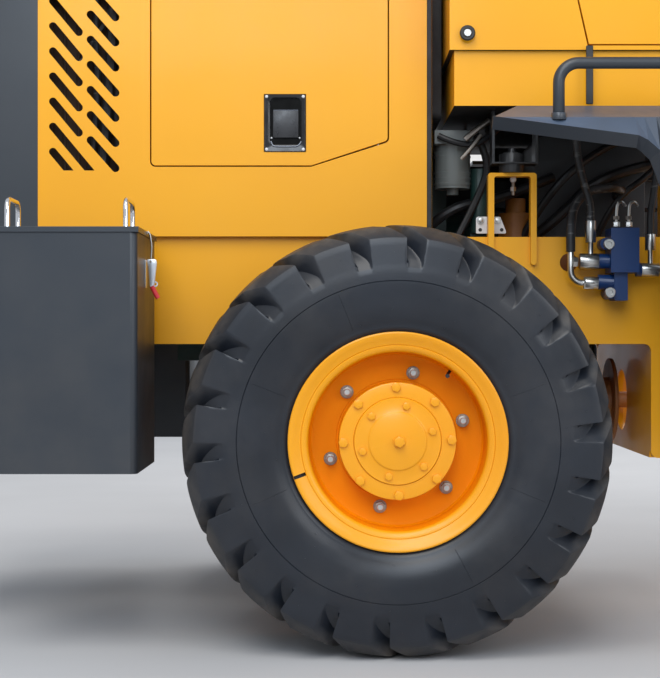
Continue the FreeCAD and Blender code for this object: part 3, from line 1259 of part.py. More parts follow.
tower_outline = [
    ("tower_rear", "hinge_low"), ("430", "hinge_low"),
    ("760", "tyre_radius + axle_tube_radius + 10"),
    ("tower_front", "tyre_radius + axle_tube_radius + 10"), ("tower_front", "690"),
    ("1180", "700"), ("900", "860"), ("700", "1200"), ("600", "1500"),
    ("boom_pivot_forward + 60", "boom_pivot_height + 80"),
    ("boom_pivot_forward - 30", "boom_pivot_height + 95"),
    ("boom_pivot_forward - 100", "boom_pivot_height"),
    ("boom_pivot_forward - 100", "cab_low - 20"), ("tower_rear", "frame_top - 40"),
]
tower = both([
    plate("tower_inner_plate", "xz", tower_outline, ("-tower_inner - tower_plate", "-tower_inner")),
    plate("tower_outer_plate", "xz", tower_outline, ("-tower_outer", "-tower_outer + tower_plate")),
    rod("boom_pivot_pin", "y", ("boom_pivot_forward", "boom_pivot_height"),
        ("-tower_outer - 12", "-tower_inner"), "boom_pin_radius"),
])


def fork_plate(name, low):
    return plate(name, "xy", hinge_outline(1, "tower_rear + 10", "tower_inner + 10"),
                 (low, f"{low} + fork_plate"))


lift_base = polar((size("boom_pivot_forward"), size("boom_pivot_height")),
                  size("lift_base_distance"),
                  -math.degrees(math.atan2(size("boom_drop"), size("boom_run")))
                  - size("lift_base_angle"))
lift_pins = both([rod("lift_base_pin", "y", (f"{lift_base[0]:.3f}", f"{lift_base[1]:.3f}"),
                      ("-tower_outer", "-tower_inner"), "25")])
hinge_pins = [
    rod("upper_pin", "z", ("0", "0"), ("upper_hinge - fork_plate - 13",
                                       "upper_hinge + hinge_plate + fork_plate + 12"),
        "hinge_pin_radius"),
    rod("lower_pin", "z", ("0", "0"), ("lower_hinge - fork_plate - 10",
                                       "lower_hinge + hinge_plate + fork_plate + 4"),
        "hinge_pin_radius"),
]
forks = [
    fork_plate("fork_1", "upper_hinge - side_gap - fork_plate"),
    fork_plate("fork_2", "upper_hinge + hinge_plate + side_gap"),
    fork_plate("fork_3", "lower_hinge - side_gap - fork_plate"),
    fork_plate("fork_4", "lower_hinge + hinge_plate + side_gap"),
]
front_cross = plate("front_cross_plate", "yz",
                    [("-tower_outer", "445"), ("tower_outer", "445"),
                     ("tower_outer", "frame_top - 10"), ("-tower_outer", "frame_top - 10")],
                    ("tower_rear + 10", "tower_rear + 35"),
                    circles=[("0", "driveline_height", "95")])
steer_front = both([
    plate(f"steer_front_ear_{level}", "xy",
          [("tower_rear + 12", "-steer_eye_offset - 60"), ("tower_rear + 12",
                                                          "-steer_eye_offset + 28"),
           ("steer_eye_forward - 34", "-steer_eye_offset + 34"),
           ("steer_eye_forward - 34", "-steer_eye_offset - 34")], ends)
    for level, ends in (("lower", ("steer_height - 57", "steer_height - 39")),
                        ("upper", ("steer_height + 39", "steer_height + 57")))
])
front_pieces = tower + lift_pins + hinge_pins + forks + [front_cross] + steer_front + [
    box("tower_back", ("360", "382"), ("-tower_inner", "tower_inner"), ("1150", "1420")),
    box("axle_bridge", ("front_axle - 130", "front_axle + 150"), ("-tower_inner", "tower_inner"),
        ("tyre_radius + axle_tube_radius + 62", "700")),
] + both([box("axle_pad", ("front_axle - 90", "front_axle + 90"), ("-tower_outer", "-tower_inner"),
              ("tyre_radius + axle_tube_radius - 12", "tyre_radius + axle_tube_radius + 20"))])
bowl_room = doc.addObject("Part::Sphere", "bowl_room")
bind(bowl_room, Radius="differential_radius + 10", Base_x="front_axle", Base_z="tyre_radius")
front_tube_room = rod("front_tube_room", "y", ("front_axle", "tyre_radius"),
                      ("-wheel_offset", "wheel_offset"), "axle_tube_radius + 0.3")
shape_node("front_frame", cut("front_frame_cut", fuse("front_frame_fused", front_pieces),
                              [bowl_room, front_tube_room]))

fender = plate("front_fender_sheet", "xz",
               [("front_axle - 420", "1240"), ("front_axle - 260", "1330"),
                ("front_axle + 200", "1330"), ("front_axle + 400", "1180"),
                ("front_axle + 391", "1170"), ("front_axle + 196", "1318"),
                ("front_axle - 256", "1318"), ("front_axle - 413", "1230")],
               ("-wheel_offset - 200", "-tower_outer - 20"))
fender_arm = box("fender_arm", ("600", "front_axle - 360"), ("-tower_outer - 21", "-tower_outer"),
                 ("1230", "1290"))
node("front_fenders", both([fuse("front_fender_form", [fender, fender_arm])]), joined=False)
lamp = [
    box("lamp_body", ("560", "640"), ("-tower_outer - 150", "-tower_outer - 20"), ("1560", "1680")),
    rod("lamp_post", "z", ("600", "-tower_outer - 40"), ("1430", "1560"), "14"),
    box("lamp_bracket", ("580", "614"), ("-tower_outer - 54", "-tower_outer"), ("1430", "1444")),
]
node("front_lamps", both([fuse("front_lamp_form", lamp)]), joined=False)
tail = both([box("tail_lamp", ("rear_axle - cowl_rear - 40", "rear_axle - cowl_rear"),
                 ("-430", "-360"), ("1180", "1330"))])
node("rear_lamps", tail, joined=False)


# Boom, drawn along its own line and then turned down to its place

def boom_placement(piece):
    """Lay a piece drawn along the boom's line (x along, z up) at its place."""
    drop = math.degrees(math.atan2(size("boom_drop"), size("boom_run")))
    piece.Placement = FreeCAD.Placement(
        Vector(size("boom_pivot_forward"), 0, size("boom_pivot_height")),
        FreeCAD.Rotation(Vector(0, 1, 0), drop))
    return piece


arm = plate("arm_plate", "xz",
            [("-60", "arm_boss - 22"), ("0", "arm_boss"), ("240", "150"), ("1100", "70"),
             ("boom_length", "arm_end"), ("boom_length + 60", "40"), ("boom_length + 60", "-40"),
             ("boom_length", "-arm_end"), ("1350", "-190"), ("1050", "-215"), ("300", "-95"),
             ("0", "-arm_boss"), ("-60", "22 - arm_boss"), ("-arm_boss", "0")],
            ("-arm_outer", "-arm_inner"))
arm_bosses = [
    rod("arm_pivot_boss", "y", ("0", "0"), ("-arm_outer", "-tower_inner - tower_plate - 8"),
        "arm_boss - 25"),
    rod("arm_lift_boss", "y", ("lift_pin_along", "0"), ("-arm_inner", "-lift_offset - 28"), "45"),
]
arm_bores = [
    rod("arm_pivot_bore", "y", ("0", "0"), ("-arm_outer - 20", "-tower_inner"),
        "boom_pin_radius + running_gap"),
    rod("arm_end_bore", "y", ("boom_length", "0"), ("-arm_outer - 20", "-arm_inner + 20"),
        "bucket_pin_radius + running_gap"),
]
arm_form = cut("arm_form", fuse("arm_fused", [arm] + arm_bosses), arm_bores)
cross_tube = ("1130", "-130")
rear_tube = ("240", "70")
lever_lug = plate("lever_lug", "xz",
                  [("lever_along - 45", "40"), ("lever_along + 45", "40"),
                   ("lever_along + 75", "-130"), ("lever_along - 55", "-130")],
                  ("-ear_outer - 30", "-ear_outer - 5"))
anchor_ear = plate("anchor_ear", "xz",
                   [("195", "70"), ("285", "70"), ("tilt_anchor_along + 35", "-tilt_anchor_below"),
                    ("tilt_anchor_along", "-tilt_anchor_below - 35"),
                    ("tilt_anchor_along - 35", "-tilt_anchor_below")],
                   ("-ear_outer", "-ear_inner"))
boom_middle = [
    rod("boom_cross_tube", "y", cross_tube, ("-arm_inner", "arm_inner"), "70"),
    rod("boom_rear_tube", "y", rear_tube, ("-arm_inner", "arm_inner"), "50"),
    rod("anchor_pin", "y", ("tilt_anchor_along", "-tilt_anchor_below"),
        ("-ear_outer", "ear_outer"), "22"),
]
lever_stub = rod("lever_stub", "y", ("lever_along", "0"), ("-ear_outer - 30", "-ear_inner"),
                 "link_pin_radius")
boom_form = fuse("boom_form", both([arm_form, lever_lug, anchor_ear, lever_stub]) + boom_middle)
shape_node("boom", boom_placement(boom_form))

lever_turn = size("lever_angle") + math.degrees(math.atan2(size("boom_drop"), size("boom_run")))
lever_pin = polar((size("lever_along"), 0), size("lever_length"), lever_turn)
tilt_pin = polar((size("lever_along"), 0), size("tilt_radius"), lever_turn + size("tilt_lag"))


def lever_outline():
    """Lever cheek: round the pivot, out to the link's pin and to the rod's pin."""
    corners = []
    rows = (
        # centre, radius, first direction, last direction from the lever's line
        ((size("lever_along"), 0), 48, 115, 265),
        (lever_pin, 42, -85, 75),
        (tilt_pin, 50, 35, 125),
    )
    for centre, radius, first, last in rows:
        for share in (0, 0.33, 0.67, 1):
            turn = lever_turn + first + (last - first) * share
            corners.append(polar(centre, radius, turn))
    return [spot(corner) for corner in corners]


cheek = plate("lever_cheek", "xz", lever_outline(), ("-ear_outer", "-ear_inner"),
              circles=[("lever_along", "0", "link_pin_radius + running_gap")])
lever_form = fuse("lever_form", both([cheek]) + [
    rod("lever_link_pin", "y", spot(lever_pin), ("-ear_outer", "ear_outer"), "link_pin_radius")])
shape_node("tilt_lever", boom_placement(lever_form))

bucket_pin = (lever_pin[0] + size("link_length"), lever_pin[1])
link_bar = plate("link_bar", "xz",
                 [(f"{lever_pin[0]:.3f}", f"{lever_pin[1] - 26:.3f}"),
                  (f"{bucket_pin[0]:.3f}", f"{bucket_pin[1] - 26:.3f}"),
                  (f"{bucket_pin[0]:.3f}", f"{bucket_pin[1] + 26:.3f}"),
                  (f"{lever_pin[0]:.3f}", f"{lever_pin[1] + 26:.3f}")],
                 ("-link_half + 16", "link_half - 16"))
link_eyes = [rod(f"link_eye_{number}", "y", spot(pin), ("-link_half", "link_half"), "44")
             for number, pin in enumerate((lever_pin, bucket_pin))]
link_bores = [rod(f"link_bore_{number}", "y", spot(pin), ("-link_half - 5", "link_half + 5"),
                  "link_pin_radius + running_gap")
              for number, pin in enumerate((lever_pin, bucket_pin))]
shape_node("tilt_link", boom_placement(cut("link_form", fuse("link_fused", [link_bar] + link_eyes),
                                           link_bores)))


def cylinder_pair(name, base, eye, half, barrel_radius, rod_radius, barrel_share, pin,
                  retract=0):
    """A hydraulic cylinder drawn from its base to its rod's eye in the xz plane."""
    length = math.hypot(eye[0] - base[0], eye[1] - base[1])
    turn = FreeCAD.Rotation(Vector(0, 1, 0),
                            -math.degrees(math.atan2(eye[1] - base[1], eye[0] - base[0])))
    place = FreeCAD.Placement(Vector(base[0], 0, base[1]), turn)
    reach = length * barrel_share

    def bar(label, along, centre, ends, radius):
        return rod(f"{name}_{label}", along, centre, ends, str(radius))

    shell = bar("shell", "x", ("0", "0"), ("25", str(reach)), barrel_radius)
    base_eye = bar("base_eye", "y", ("0", "0"), (f"-{half}", str(half)), barrel_radius)
    gland = bar("gland", "x", ("0", "0"), (str(reach - 45), str(reach)), barrel_radius + 4)
    bore = bar("bore", "x", ("0", "0"), (str(60), str(reach + 1)), rod_radius + 0.08)
    base_bore = bar("base_bore", "y", ("0", "0"), (f"-{half} - 5", f"{half} + 5"), pin + 0.08)
    barrel = cut(name + "_barrel", fuse(name + "_barrel_fused", [shell, base_eye, gland]),
                 [bore, base_bore])
    stem = bar("stem", "x", ("0", "0"), (str(66 + retract), str(length - 20)), rod_radius)
    eye_ring = bar("eye", "y", (str(length), "0"), (f"-{half}", str(half)), rod_radius + 16)
    rod_form = fuse(name + "_rod", [stem, eye_ring])
    for form in (barrel, rod_form):
        form.Placement = place
    return barrel, rod_form


anchor = (size("tilt_anchor_along"), -size("tilt_anchor_below"))
tilt_barrel, tilt_rod = cylinder_pair("tilt", anchor, tilt_pin, "link_half", 38, 20, 0.66, 22,
                                      size("tilt_retract"))
shape_node("tilt_barrel", boom_placement(group("tilt_barrel_laid", [tilt_barrel])))
shape_node("tilt_rod", boom_placement(group("tilt_rod_laid", [tilt_rod])))

lift_eye = polar((size("boom_pivot_forward"), size("boom_pivot_height")), size("lift_pin_along"),
                 -math.degrees(math.atan2(size("boom_drop"), size("boom_run"))))
lift_barrel, lift_rod = cylinder_pair("lift", lift_base, lift_eye, "20", 40, 25, 0.7, 25)
for label, form in (("lift_barrels", lift_barrel), ("lift_rods", lift_rod)):
    pair = []
    for side, sign in (("right", "-"), ("left", "")):
        copy = group(f"{label}_{side}", [form])
        pair.append(bind(copy, Base_y=f"{sign}lift_offset"))
    node(label, pair, joined=False)

steer_base = (-size("steer_base_back"), size("steer_base_offset"))
steer_eye = (size("steer_eye_forward"), size("steer_eye_offset"))
steer_barrel, steer_rod = cylinder_pair("steer", steer_base, steer_eye, "34", 34, 20, 0.62,
                                        20, size("steer_retract"))
flat = FreeCAD.Placement(Vector(), FreeCAD.Rotation(Vector(1, 0, 0), -90))
for label, form in (("steer_barrel", steer_barrel), ("steer_rod", steer_rod)):
    laid = group(label + "_laid", [form])
    laid.Placement = flat
    bind(laid, Base_z="steer_height")
    shape_node(label + "_left", laid)
    shape_node(label + "_right", mirror(group(label + "_lying", [laid])))


# Bucket

def bucket_section(inset):
    """Side view of the bucket's shell from the cutting edge round to the lip."""
    pivot = "bucket_pivot_forward"
    floor_line = "bucket_floor"
    return [
        (f"{pivot} + bucket_reach", floor_line),
        (f"{pivot} + bucket_back + 130", floor_line),
        (f"{pivot} + bucket_back + 50", "bucket_floor + 50"),
        (f"{pivot} + bucket_back + 10", "bucket_floor + 140"),
        (f"{pivot} + bucket_back", "bucket_floor + 260"),
        (f"{pivot} + bucket_back + 30", "bucket_floor + 520"),
        (f"{pivot} + bucket_back + 120", "bucket_floor + 760"),
        (f"{pivot} + bucket_back + 250", "bucket_height"),
    ]


def bucket_inner():
    """The same line one shell thickness further in."""
    outer = bucket_section("0")
    shift = ((-40, 1), (0, 1), (0.6, 0.8), (0.9, 0.4), (1, 0), (1, -0.15), (0.9, -0.45), (0.7, -0.7))
    inner = []
    for (across, up), (right, above) in zip(outer, shift):
        step = f"{right}" if abs(right) > 2 else f"bucket_plate * {right}"
        inner.append((f"{across} + {step}", f"{up} + bucket_plate * {above}"))
    return inner


shell = plate("bucket_shell", "xz", bucket_section("0") + list(reversed(bucket_inner())),
              ("-bucket_half", "bucket_half"))
cheek_outline = bucket_section("0") + [
    ("bucket_pivot_forward + bucket_back + 400", "bucket_height - 60"),
    ("bucket_pivot_forward + bucket_reach - 20", "bucket_floor + 60"),
]
bucket_cheeks = both([plate("bucket_cheek", "xz", cheek_outline,
                            ("-bucket_half", "-bucket_half + bucket_side"))])
pivot_spot = ("bucket_pivot_forward", "bucket_pivot_height")
back = "bucket_pivot_forward + bucket_back"
arm_ears = both([
    plate(f"bucket_ear_{number}", "xz",
          [("bucket_pivot_forward - 50", "bucket_pivot_height - 40"),
           (f"{back} + 10", "bucket_floor + 120"), (f"{back} + 30", "bucket_floor + 480"),
           ("bucket_pivot_forward - 50", "bucket_pivot_height + 40")], ends)
    for number, ends in enumerate((("-arm_inner + side_gap", "-arm_inner + side_gap + 20"),
                                   ("-arm_outer - side_gap - 20", "-arm_outer - side_gap")))
])
bucket_pins = both([rod("bucket_pin", "y", pivot_spot,
                        ("-arm_outer - side_gap - 20", "-arm_inner + side_gap + 20"),
                        "bucket_pin_radius")])
link_spot = polar((size("bucket_pivot_forward"), size("bucket_pivot_height")),
                  size("lever_length"), size("lever_angle"))
link_ears = both([
    plate("bucket_link_ear", "xz",
          [(f"{link_spot[0] - 42:.3f}", f"{link_spot[1] + 20:.3f}"),
           (f"{link_spot[0] - 36:.3f}", f"{link_spot[1] - 36:.3f}"),
           (f"{back} + 20", "bucket_floor + 380"), (f"{back} + 90", "bucket_floor + 680"),
           (f"{link_spot[0] + 10:.3f}", f"{link_spot[1] + 44:.3f}")],
          ("-ear_outer", "-ear_inner"))])
link_pin = rod("bucket_link_pin", "y", spot(link_spot), ("-ear_outer", "ear_outer"),
               "link_pin_radius")
cutting_edge = plate("cutting_edge", "xz",
                     [("bucket_pivot_forward + bucket_reach + 60", "bucket_floor"),
                      ("bucket_pivot_forward + bucket_reach - 60", "bucket_floor"),
                      ("bucket_pivot_forward + bucket_reach - 60", "bucket_floor + 26"),
                      ("bucket_pivot_forward + bucket_reach", "bucket_floor + 26")],
                     ("-bucket_half", "bucket_half"))
node("bucket", [shell, cutting_edge, link_pin] + bucket_cheeks + arm_ears + bucket_pins
     + link_ears)


def place_and_write():
    """Put the origin under the middle of the machine, check and write every node."""
    doc.recompute()
    whole = FreeCAD.BoundBox()
    for piece in nodes.values():
        whole.add(piece.Shape.BoundBox)
    middle = Vector((whole.XMin + whole.XMax) / 2, (whole.YMin + whole.YMax) / 2, whole.ZMin)
    os.makedirs("parts", exist_ok=True)
    for piece in doc.Objects:
        if "Invalid" in piece.State or "Error" in piece.State:
            raise RuntimeError(f"{piece.Label} failed to compute: {piece.State}")
    for label, piece in nodes.items():
        shape = piece.Shape.copy()
        if shape.isNull() or not shape.isValid() or not shape.Solids:
            raise RuntimeError(f"{label} has no valid solid")
        shape.translate(middle * -1)
        shape.exportStep(f"parts/{label}.step")
    print(f"{len(nodes)} nodes, articulation pin at x = {-middle.x:.3f}")
    return middle


origin = place_and_write()
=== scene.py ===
# %% [markdown]
# # A wheel loader, seen from beside its rear wheel
# The steel structure comes from the CAD model, at its real size and in metres.
# This lesson dresses it: tyres with cut lugs, rims with their bolts, painted
# sheet, hoses, glass and a cushioned seat. The camera stands where the
# photographer stood, close to the rear wheel and a little above its middle.

# %% Load the frame
import math

import bmesh
import bpy
from mathutils import Matrix, Vector


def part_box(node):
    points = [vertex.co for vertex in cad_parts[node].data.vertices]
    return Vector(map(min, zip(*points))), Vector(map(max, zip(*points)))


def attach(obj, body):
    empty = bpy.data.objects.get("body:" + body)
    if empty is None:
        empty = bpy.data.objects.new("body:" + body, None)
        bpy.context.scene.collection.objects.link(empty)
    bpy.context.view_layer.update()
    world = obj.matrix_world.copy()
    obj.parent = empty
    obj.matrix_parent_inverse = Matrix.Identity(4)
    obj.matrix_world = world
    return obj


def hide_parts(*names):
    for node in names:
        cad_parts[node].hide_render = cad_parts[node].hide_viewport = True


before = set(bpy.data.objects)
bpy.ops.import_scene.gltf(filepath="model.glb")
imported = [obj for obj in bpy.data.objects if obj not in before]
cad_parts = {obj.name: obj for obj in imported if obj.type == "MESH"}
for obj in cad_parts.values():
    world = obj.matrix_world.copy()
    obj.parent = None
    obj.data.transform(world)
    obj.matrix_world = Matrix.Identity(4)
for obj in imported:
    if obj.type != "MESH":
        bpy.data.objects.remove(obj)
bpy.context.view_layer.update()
scene = bpy.context.scene

# %% [markdown]
# ## Where things are
# Every piece is placed from the frame, so the dressing still fits when the CAD
# model moves. The rear wheel on the right is the nearest thing to the camera,
# so its middle is the landmark. A wheel's shoulders are rounded off and its
# tread is crowned, so the ground is a little lower than the shoulder.

# %% Landmarks
SHOULDER_RADIUS = 0.550


def middle_of(node):
    low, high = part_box(node)
    return (low + high) / 2


rear_wheel = middle_of("tyre_rear_right")
raised = rear_wheel.z - SHOULDER_RADIUS


def spot(along, out, height):
    """A point forward of the rear axle, out to the right, and over the shoulders' ground."""
    return Vector((rear_wheel.x + along, -out, raised + height))


print("rear wheel at", [round(value, 3) for value in rear_wheel], "raised", round(raised, 4))

# %% [markdown]
# ## Camera
# Lines that run away from the camera meet near the middle of the photograph, so
# the camera is level and looks straight across the machine. The wheel's size in
# pixels and the place of that meeting point give its distance and height. The
# picture's middle is two pixels above the meeting point, which a small shift
# puts right without tilting the camera.

# %% Camera
FOCAL_PIXELS = 1651
IMAGE_HEIGHT = 678
SENSOR = 36
MEETING_POINT_SHIFT = -2 / IMAGE_HEIGHT
camera_data = bpy.data.cameras.new("camera")
camera_data.sensor_width = SENSOR
camera_data.lens = FOCAL_PIXELS * SENSOR / IMAGE_HEIGHT
camera_data.shift_y = MEETING_POINT_SHIFT
camera = bpy.data.objects.new("camera", camera_data)
camera.location = spot(-0.173, 5.2, 0.817)
camera.rotation_euler = (math.radians(90), 0, 0)
scene.collection.objects.link(camera)
scene.camera = camera
print("lens", round(camera_data.lens, 1), "mm")

# %% [markdown]
# ## Shader maths
# A material is easier to read as a sum than as a net of nodes. A small class
# wraps a socket, so that Python's own signs add the Math nodes, and one method
# makes any other node. The looks are then written as short formulas.

# %% Socket class
class Field:
    """A value that varies over a surface; its operators add Math nodes."""

    tree = None

    def __init__(self, socket):
        self.socket = socket

    @classmethod
    def node(cls, kind, settings=None, out=0, **inputs):
        """Add any node: settings first, then its sockets' values or links."""
        made = cls.tree.nodes.new(kind)
        for name, value in (settings or {}).items():
            if name == "ramp":
                stops = made.color_ramp.elements
                while len(stops) < len(value):
                    stops.new(1)
                for stop, (place, shade) in zip(stops, value):
                    stop.position = place
                    stop.color = (*shade, 1)
            else:
                setattr(made, name, value)
        for name, value in inputs.items():
            numbered = name[0] == "i" and name[1:].isdigit()
            socket = made.inputs[int(name[1:]) if numbered else name.replace("_", " ")]
            if isinstance(value, Field):
                cls.tree.links.new(value.socket, socket)
            elif socket.type == "RGBA" and len(value) == 3:
                socket.default_value = (*value, 1)
            else:
                socket.default_value = value
        return cls(made.outputs[out])

    def maths(self, operation, *others):
        values = {f"i{place}": other for place, other in enumerate((self, *others))}
        return Field.node("ShaderNodeMath", {"operation": operation}, **values)

    def __add__(self, other):
        return self.maths("ADD", other)

    def __sub__(self, other):
        return self.maths("SUBTRACT", other)

    def __mul__(self, other):
        return self.maths("MULTIPLY", other)

    def __rsub__(self, other):
        return (self * -1).maths("ADD", other)

    __radd__ = __add__
    __rmul__ = __mul__

    def between(self, low, high):
        """0 at low, 1 at high, smooth between."""
        return Field.node("ShaderNodeMapRange", {"interpolation_type": "SMOOTHSTEP"},
                          Value=self, From_Min=low, From_Max=high)

    def paint(self, first, second):
        """A colour between two, by this value."""
        return Field.node("ShaderNodeMix", {"data_type": "RGBA"}, out=2,
                          i0=self, i6=first, i7=second)


def place_on_piece():
    return Field.node("ShaderNodeTexCoord", out=3)


def along_axis(axis):
    """One coordinate of the piece: 0 forward, 1 to the left, 2 up."""
    return Field.node("ShaderNodeSeparateXYZ", out=axis, Vector=place_on_piece())


def noise(scale, detail=4, rough=0.55, stretch=(1, 1, 1)):
    at = Field.node("ShaderNodeMapping", Vector=place_on_piece(), Scale=stretch)
    return Field.node("ShaderNodeTexNoise", Vector=at, Scale=scale, Detail=detail,
                      Roughness=rough)


def bump(height, strength, distance):
    return Field.node("ShaderNodeBump", Height=height, Strength=strength, Distance=distance)


print("socket class ready")

# %% [markdown]
# ## Paint
# Sprayed paint on a new machine is nearly even. What tells it from plastic is a
# fine orange-peel skin, a broad change of tone between sheets, a film of dust
# that lies thicker near the ground, and thin worn places. Each is a noise at
# its own scale, mixed in that order. Three parts differ: the decks carry a painted
# sky reflection where they look up, the cab's faces that look down are painted
# near black as painted shade, and the bucket is scoured bright.

# %% Finish functions
finishes = {}
DUST = (0.30, 0.24, 0.17)
RUST = (0.23, 0.075, 0.02)
# near black painted on faces that look down, as painted shade
UNDERSIDE_SHADE = (0.012, 0.012, 0.013)
CHROME = (0.80, 0.80, 0.81)
YELLOW = ((0.885, 0.405, 0.008), (0.845, 0.372, 0.006))
ORANGE_PEEL = 260.0


def finish(name, shader, **constants):
    """A material; shader() returns the inputs that vary over the surface, by name."""
    material = bpy.data.materials.new(name)
    material.use_nodes = True
    Field.tree = material.node_tree
    surface = material.node_tree.nodes["Principled BSDF"]
    for socket, value in constants.items():
        surface.inputs[socket.replace("_", " ")].default_value = value
    for socket, value in shader().items():
        material.node_tree.links.new(value.socket, surface.inputs[socket])
    finishes[name] = material
    return material


def dusted(colour, amount):
    """A colour with a film of dust, thicker toward the ground."""
    near_ground = 1 - along_axis(2).between(0.1, 1.4)
    film = noise(3.1, 5, 0.6).between(0.35, 0.8) * (near_ground * 0.8 + 0.2) * amount
    return film.paint(colour, DUST), film


def sprayed(strength=0.06):
    """The fine skin of sprayed paint."""
    return bump(noise(ORANGE_PEEL, 2), strength, 0.001)


def sheet_tone(colour, shade):
    """A broad change of tone from sheet to sheet."""
    return noise(1.3, 2).between(0.3, 0.7).paint(colour, shade)


def gloss_change():
    return noise(7.0, 3).between(0.3, 0.7) * 0.08


def paint(colour, shade, rough, dust=0.10, peel=0.06):
    def shader():
        shown, film = dusted(sheet_tone(colour, shade), dust)
        return {
            "Base Color": shown,
            "Roughness": gloss_change() + film * 0.5 + rough,
            "Normal": sprayed(peel),
        }
    return shader


def metal(colour, shade, rough, stain=(0.20, 0.12, 0.07), stained=0.25):
    def shader():
        spots = noise(40.0, 5, 0.7).between(0.55, 0.75) * stained
        return {
            "Base Color": spots.paint(noise(9.0, 3).between(0.3, 0.7).paint(colour, shade), stain),
            "Metallic": 1 - spots,
            "Roughness": noise(120.0, 2, stretch=(1, 1, 0.1)) * 0.12 + spots * 0.5 + rough,
            "Normal": bump(noise(500.0, 2), 0.05, 0.0005),
        }
    return shader


def cast(colour, shade, rough, rust=0.0):
    """Rough cast iron under paint, with rust where rust is more than 0."""
    def shader():
        tone = noise(6.0, 5).between(0.3, 0.75).paint(colour, shade)
        rusty = noise(22.0, 6, 0.7).between(0.5, 0.75) * rust
        shown, film = dusted(rusty.paint(tone, RUST), 0.25)
        return {
            "Base Color": shown,
            "Roughness": rusty * 0.3 + film * 0.3 + rough,
            "Normal": bump(noise(180.0, 4, 0.6), 0.35, 0.002),
        }
    return shader


def facing(low, high):
    """How far a face looks up: 0 at low, 1 at high."""
    normal = Field.node("ShaderNodeNewGeometry", out=1)
    return Field.node("ShaderNodeSeparateXYZ", out=2, Vector=normal).between(low, high)


def painted_sky_on_top(colour, pale, rough):
    """Dark paint with a painted sky reflection, pale blue, where the face looks up, patchy by noise.
    """
    def shader():
        # film: painted sky reflection, pale blue, stronger the more the face looks up
        film = facing(0.1, 0.7) * (noise(5.0, 4).between(0.2, 0.7) * 0.4 + 0.6)
        return {
            "Base Color": film.paint(colour, pale),
            "Roughness": noise(9.0, 3).between(0.3, 0.7) * 0.1 + film * 0.15 + rough,
            "Normal": sprayed(),
        }
    return shader


def shaded_undersides(colour, shade, rough):
    """Paint whose faces that look down are painted near black, as painted shade."""
    def shader():
        # below: faces that look down, painted near black as painted shade
        below = 1 - facing(-0.7, -0.3)
        return {
            "Base Color": below.paint(sheet_tone(colour, shade), UNDERSIDE_SHADE),
            "Roughness": gloss_change() + below * 0.35 + rough,
            "Normal": sprayed(),
        }
    return shader


def worn_bucket():
    """Yellow paint that the ground has scoured from the bucket's floor and its edge."""
    patches = noise(9.0, 6, 0.65) * 0.10
    under = 1 - (along_axis(2) - patches).between(-0.02, 0.03)
    edge = (along_axis(0) + patches).between(2.86, 2.90)
    inside = noise(5.0, 6, 0.7, stretch=(0.4, 3.0, 1)).between(0.60, 0.75) * 0.35
    bare = under.maths("MAXIMUM", edge).maths("MAXIMUM", inside)
    steel = noise(30.0, 4).between(0.3, 0.7).paint((0.33, 0.31, 0.29), (0.17, 0.13, 0.10))
    return {
        "Base Color": bare.paint(sheet_tone(*YELLOW), steel),
        "Metallic": bare * 0.85,
        "Roughness": bare * 0.1 + noise(7.0, 3) * 0.08 + 0.36,
        "Normal": bump(noise(140.0, 3) + bare * 0.5, 0.15, 0.001),
    }


def part_chromed(colour, low, high):
    """Paint up to a height, chromed rod above it."""
    def shader():
        chromed = along_axis(2).between(low, high)
        shown, film = dusted(colour, 0.1)
        return {
            "Base Color": chromed.paint(shown, CHROME),
            "Metallic": chromed,
            "Roughness": (1 - chromed) * 0.28 + noise(7.0, 3) * 0.05 + film * 0.3 + 0.06,
            "Normal": sprayed(0.05),
        }
    return shader


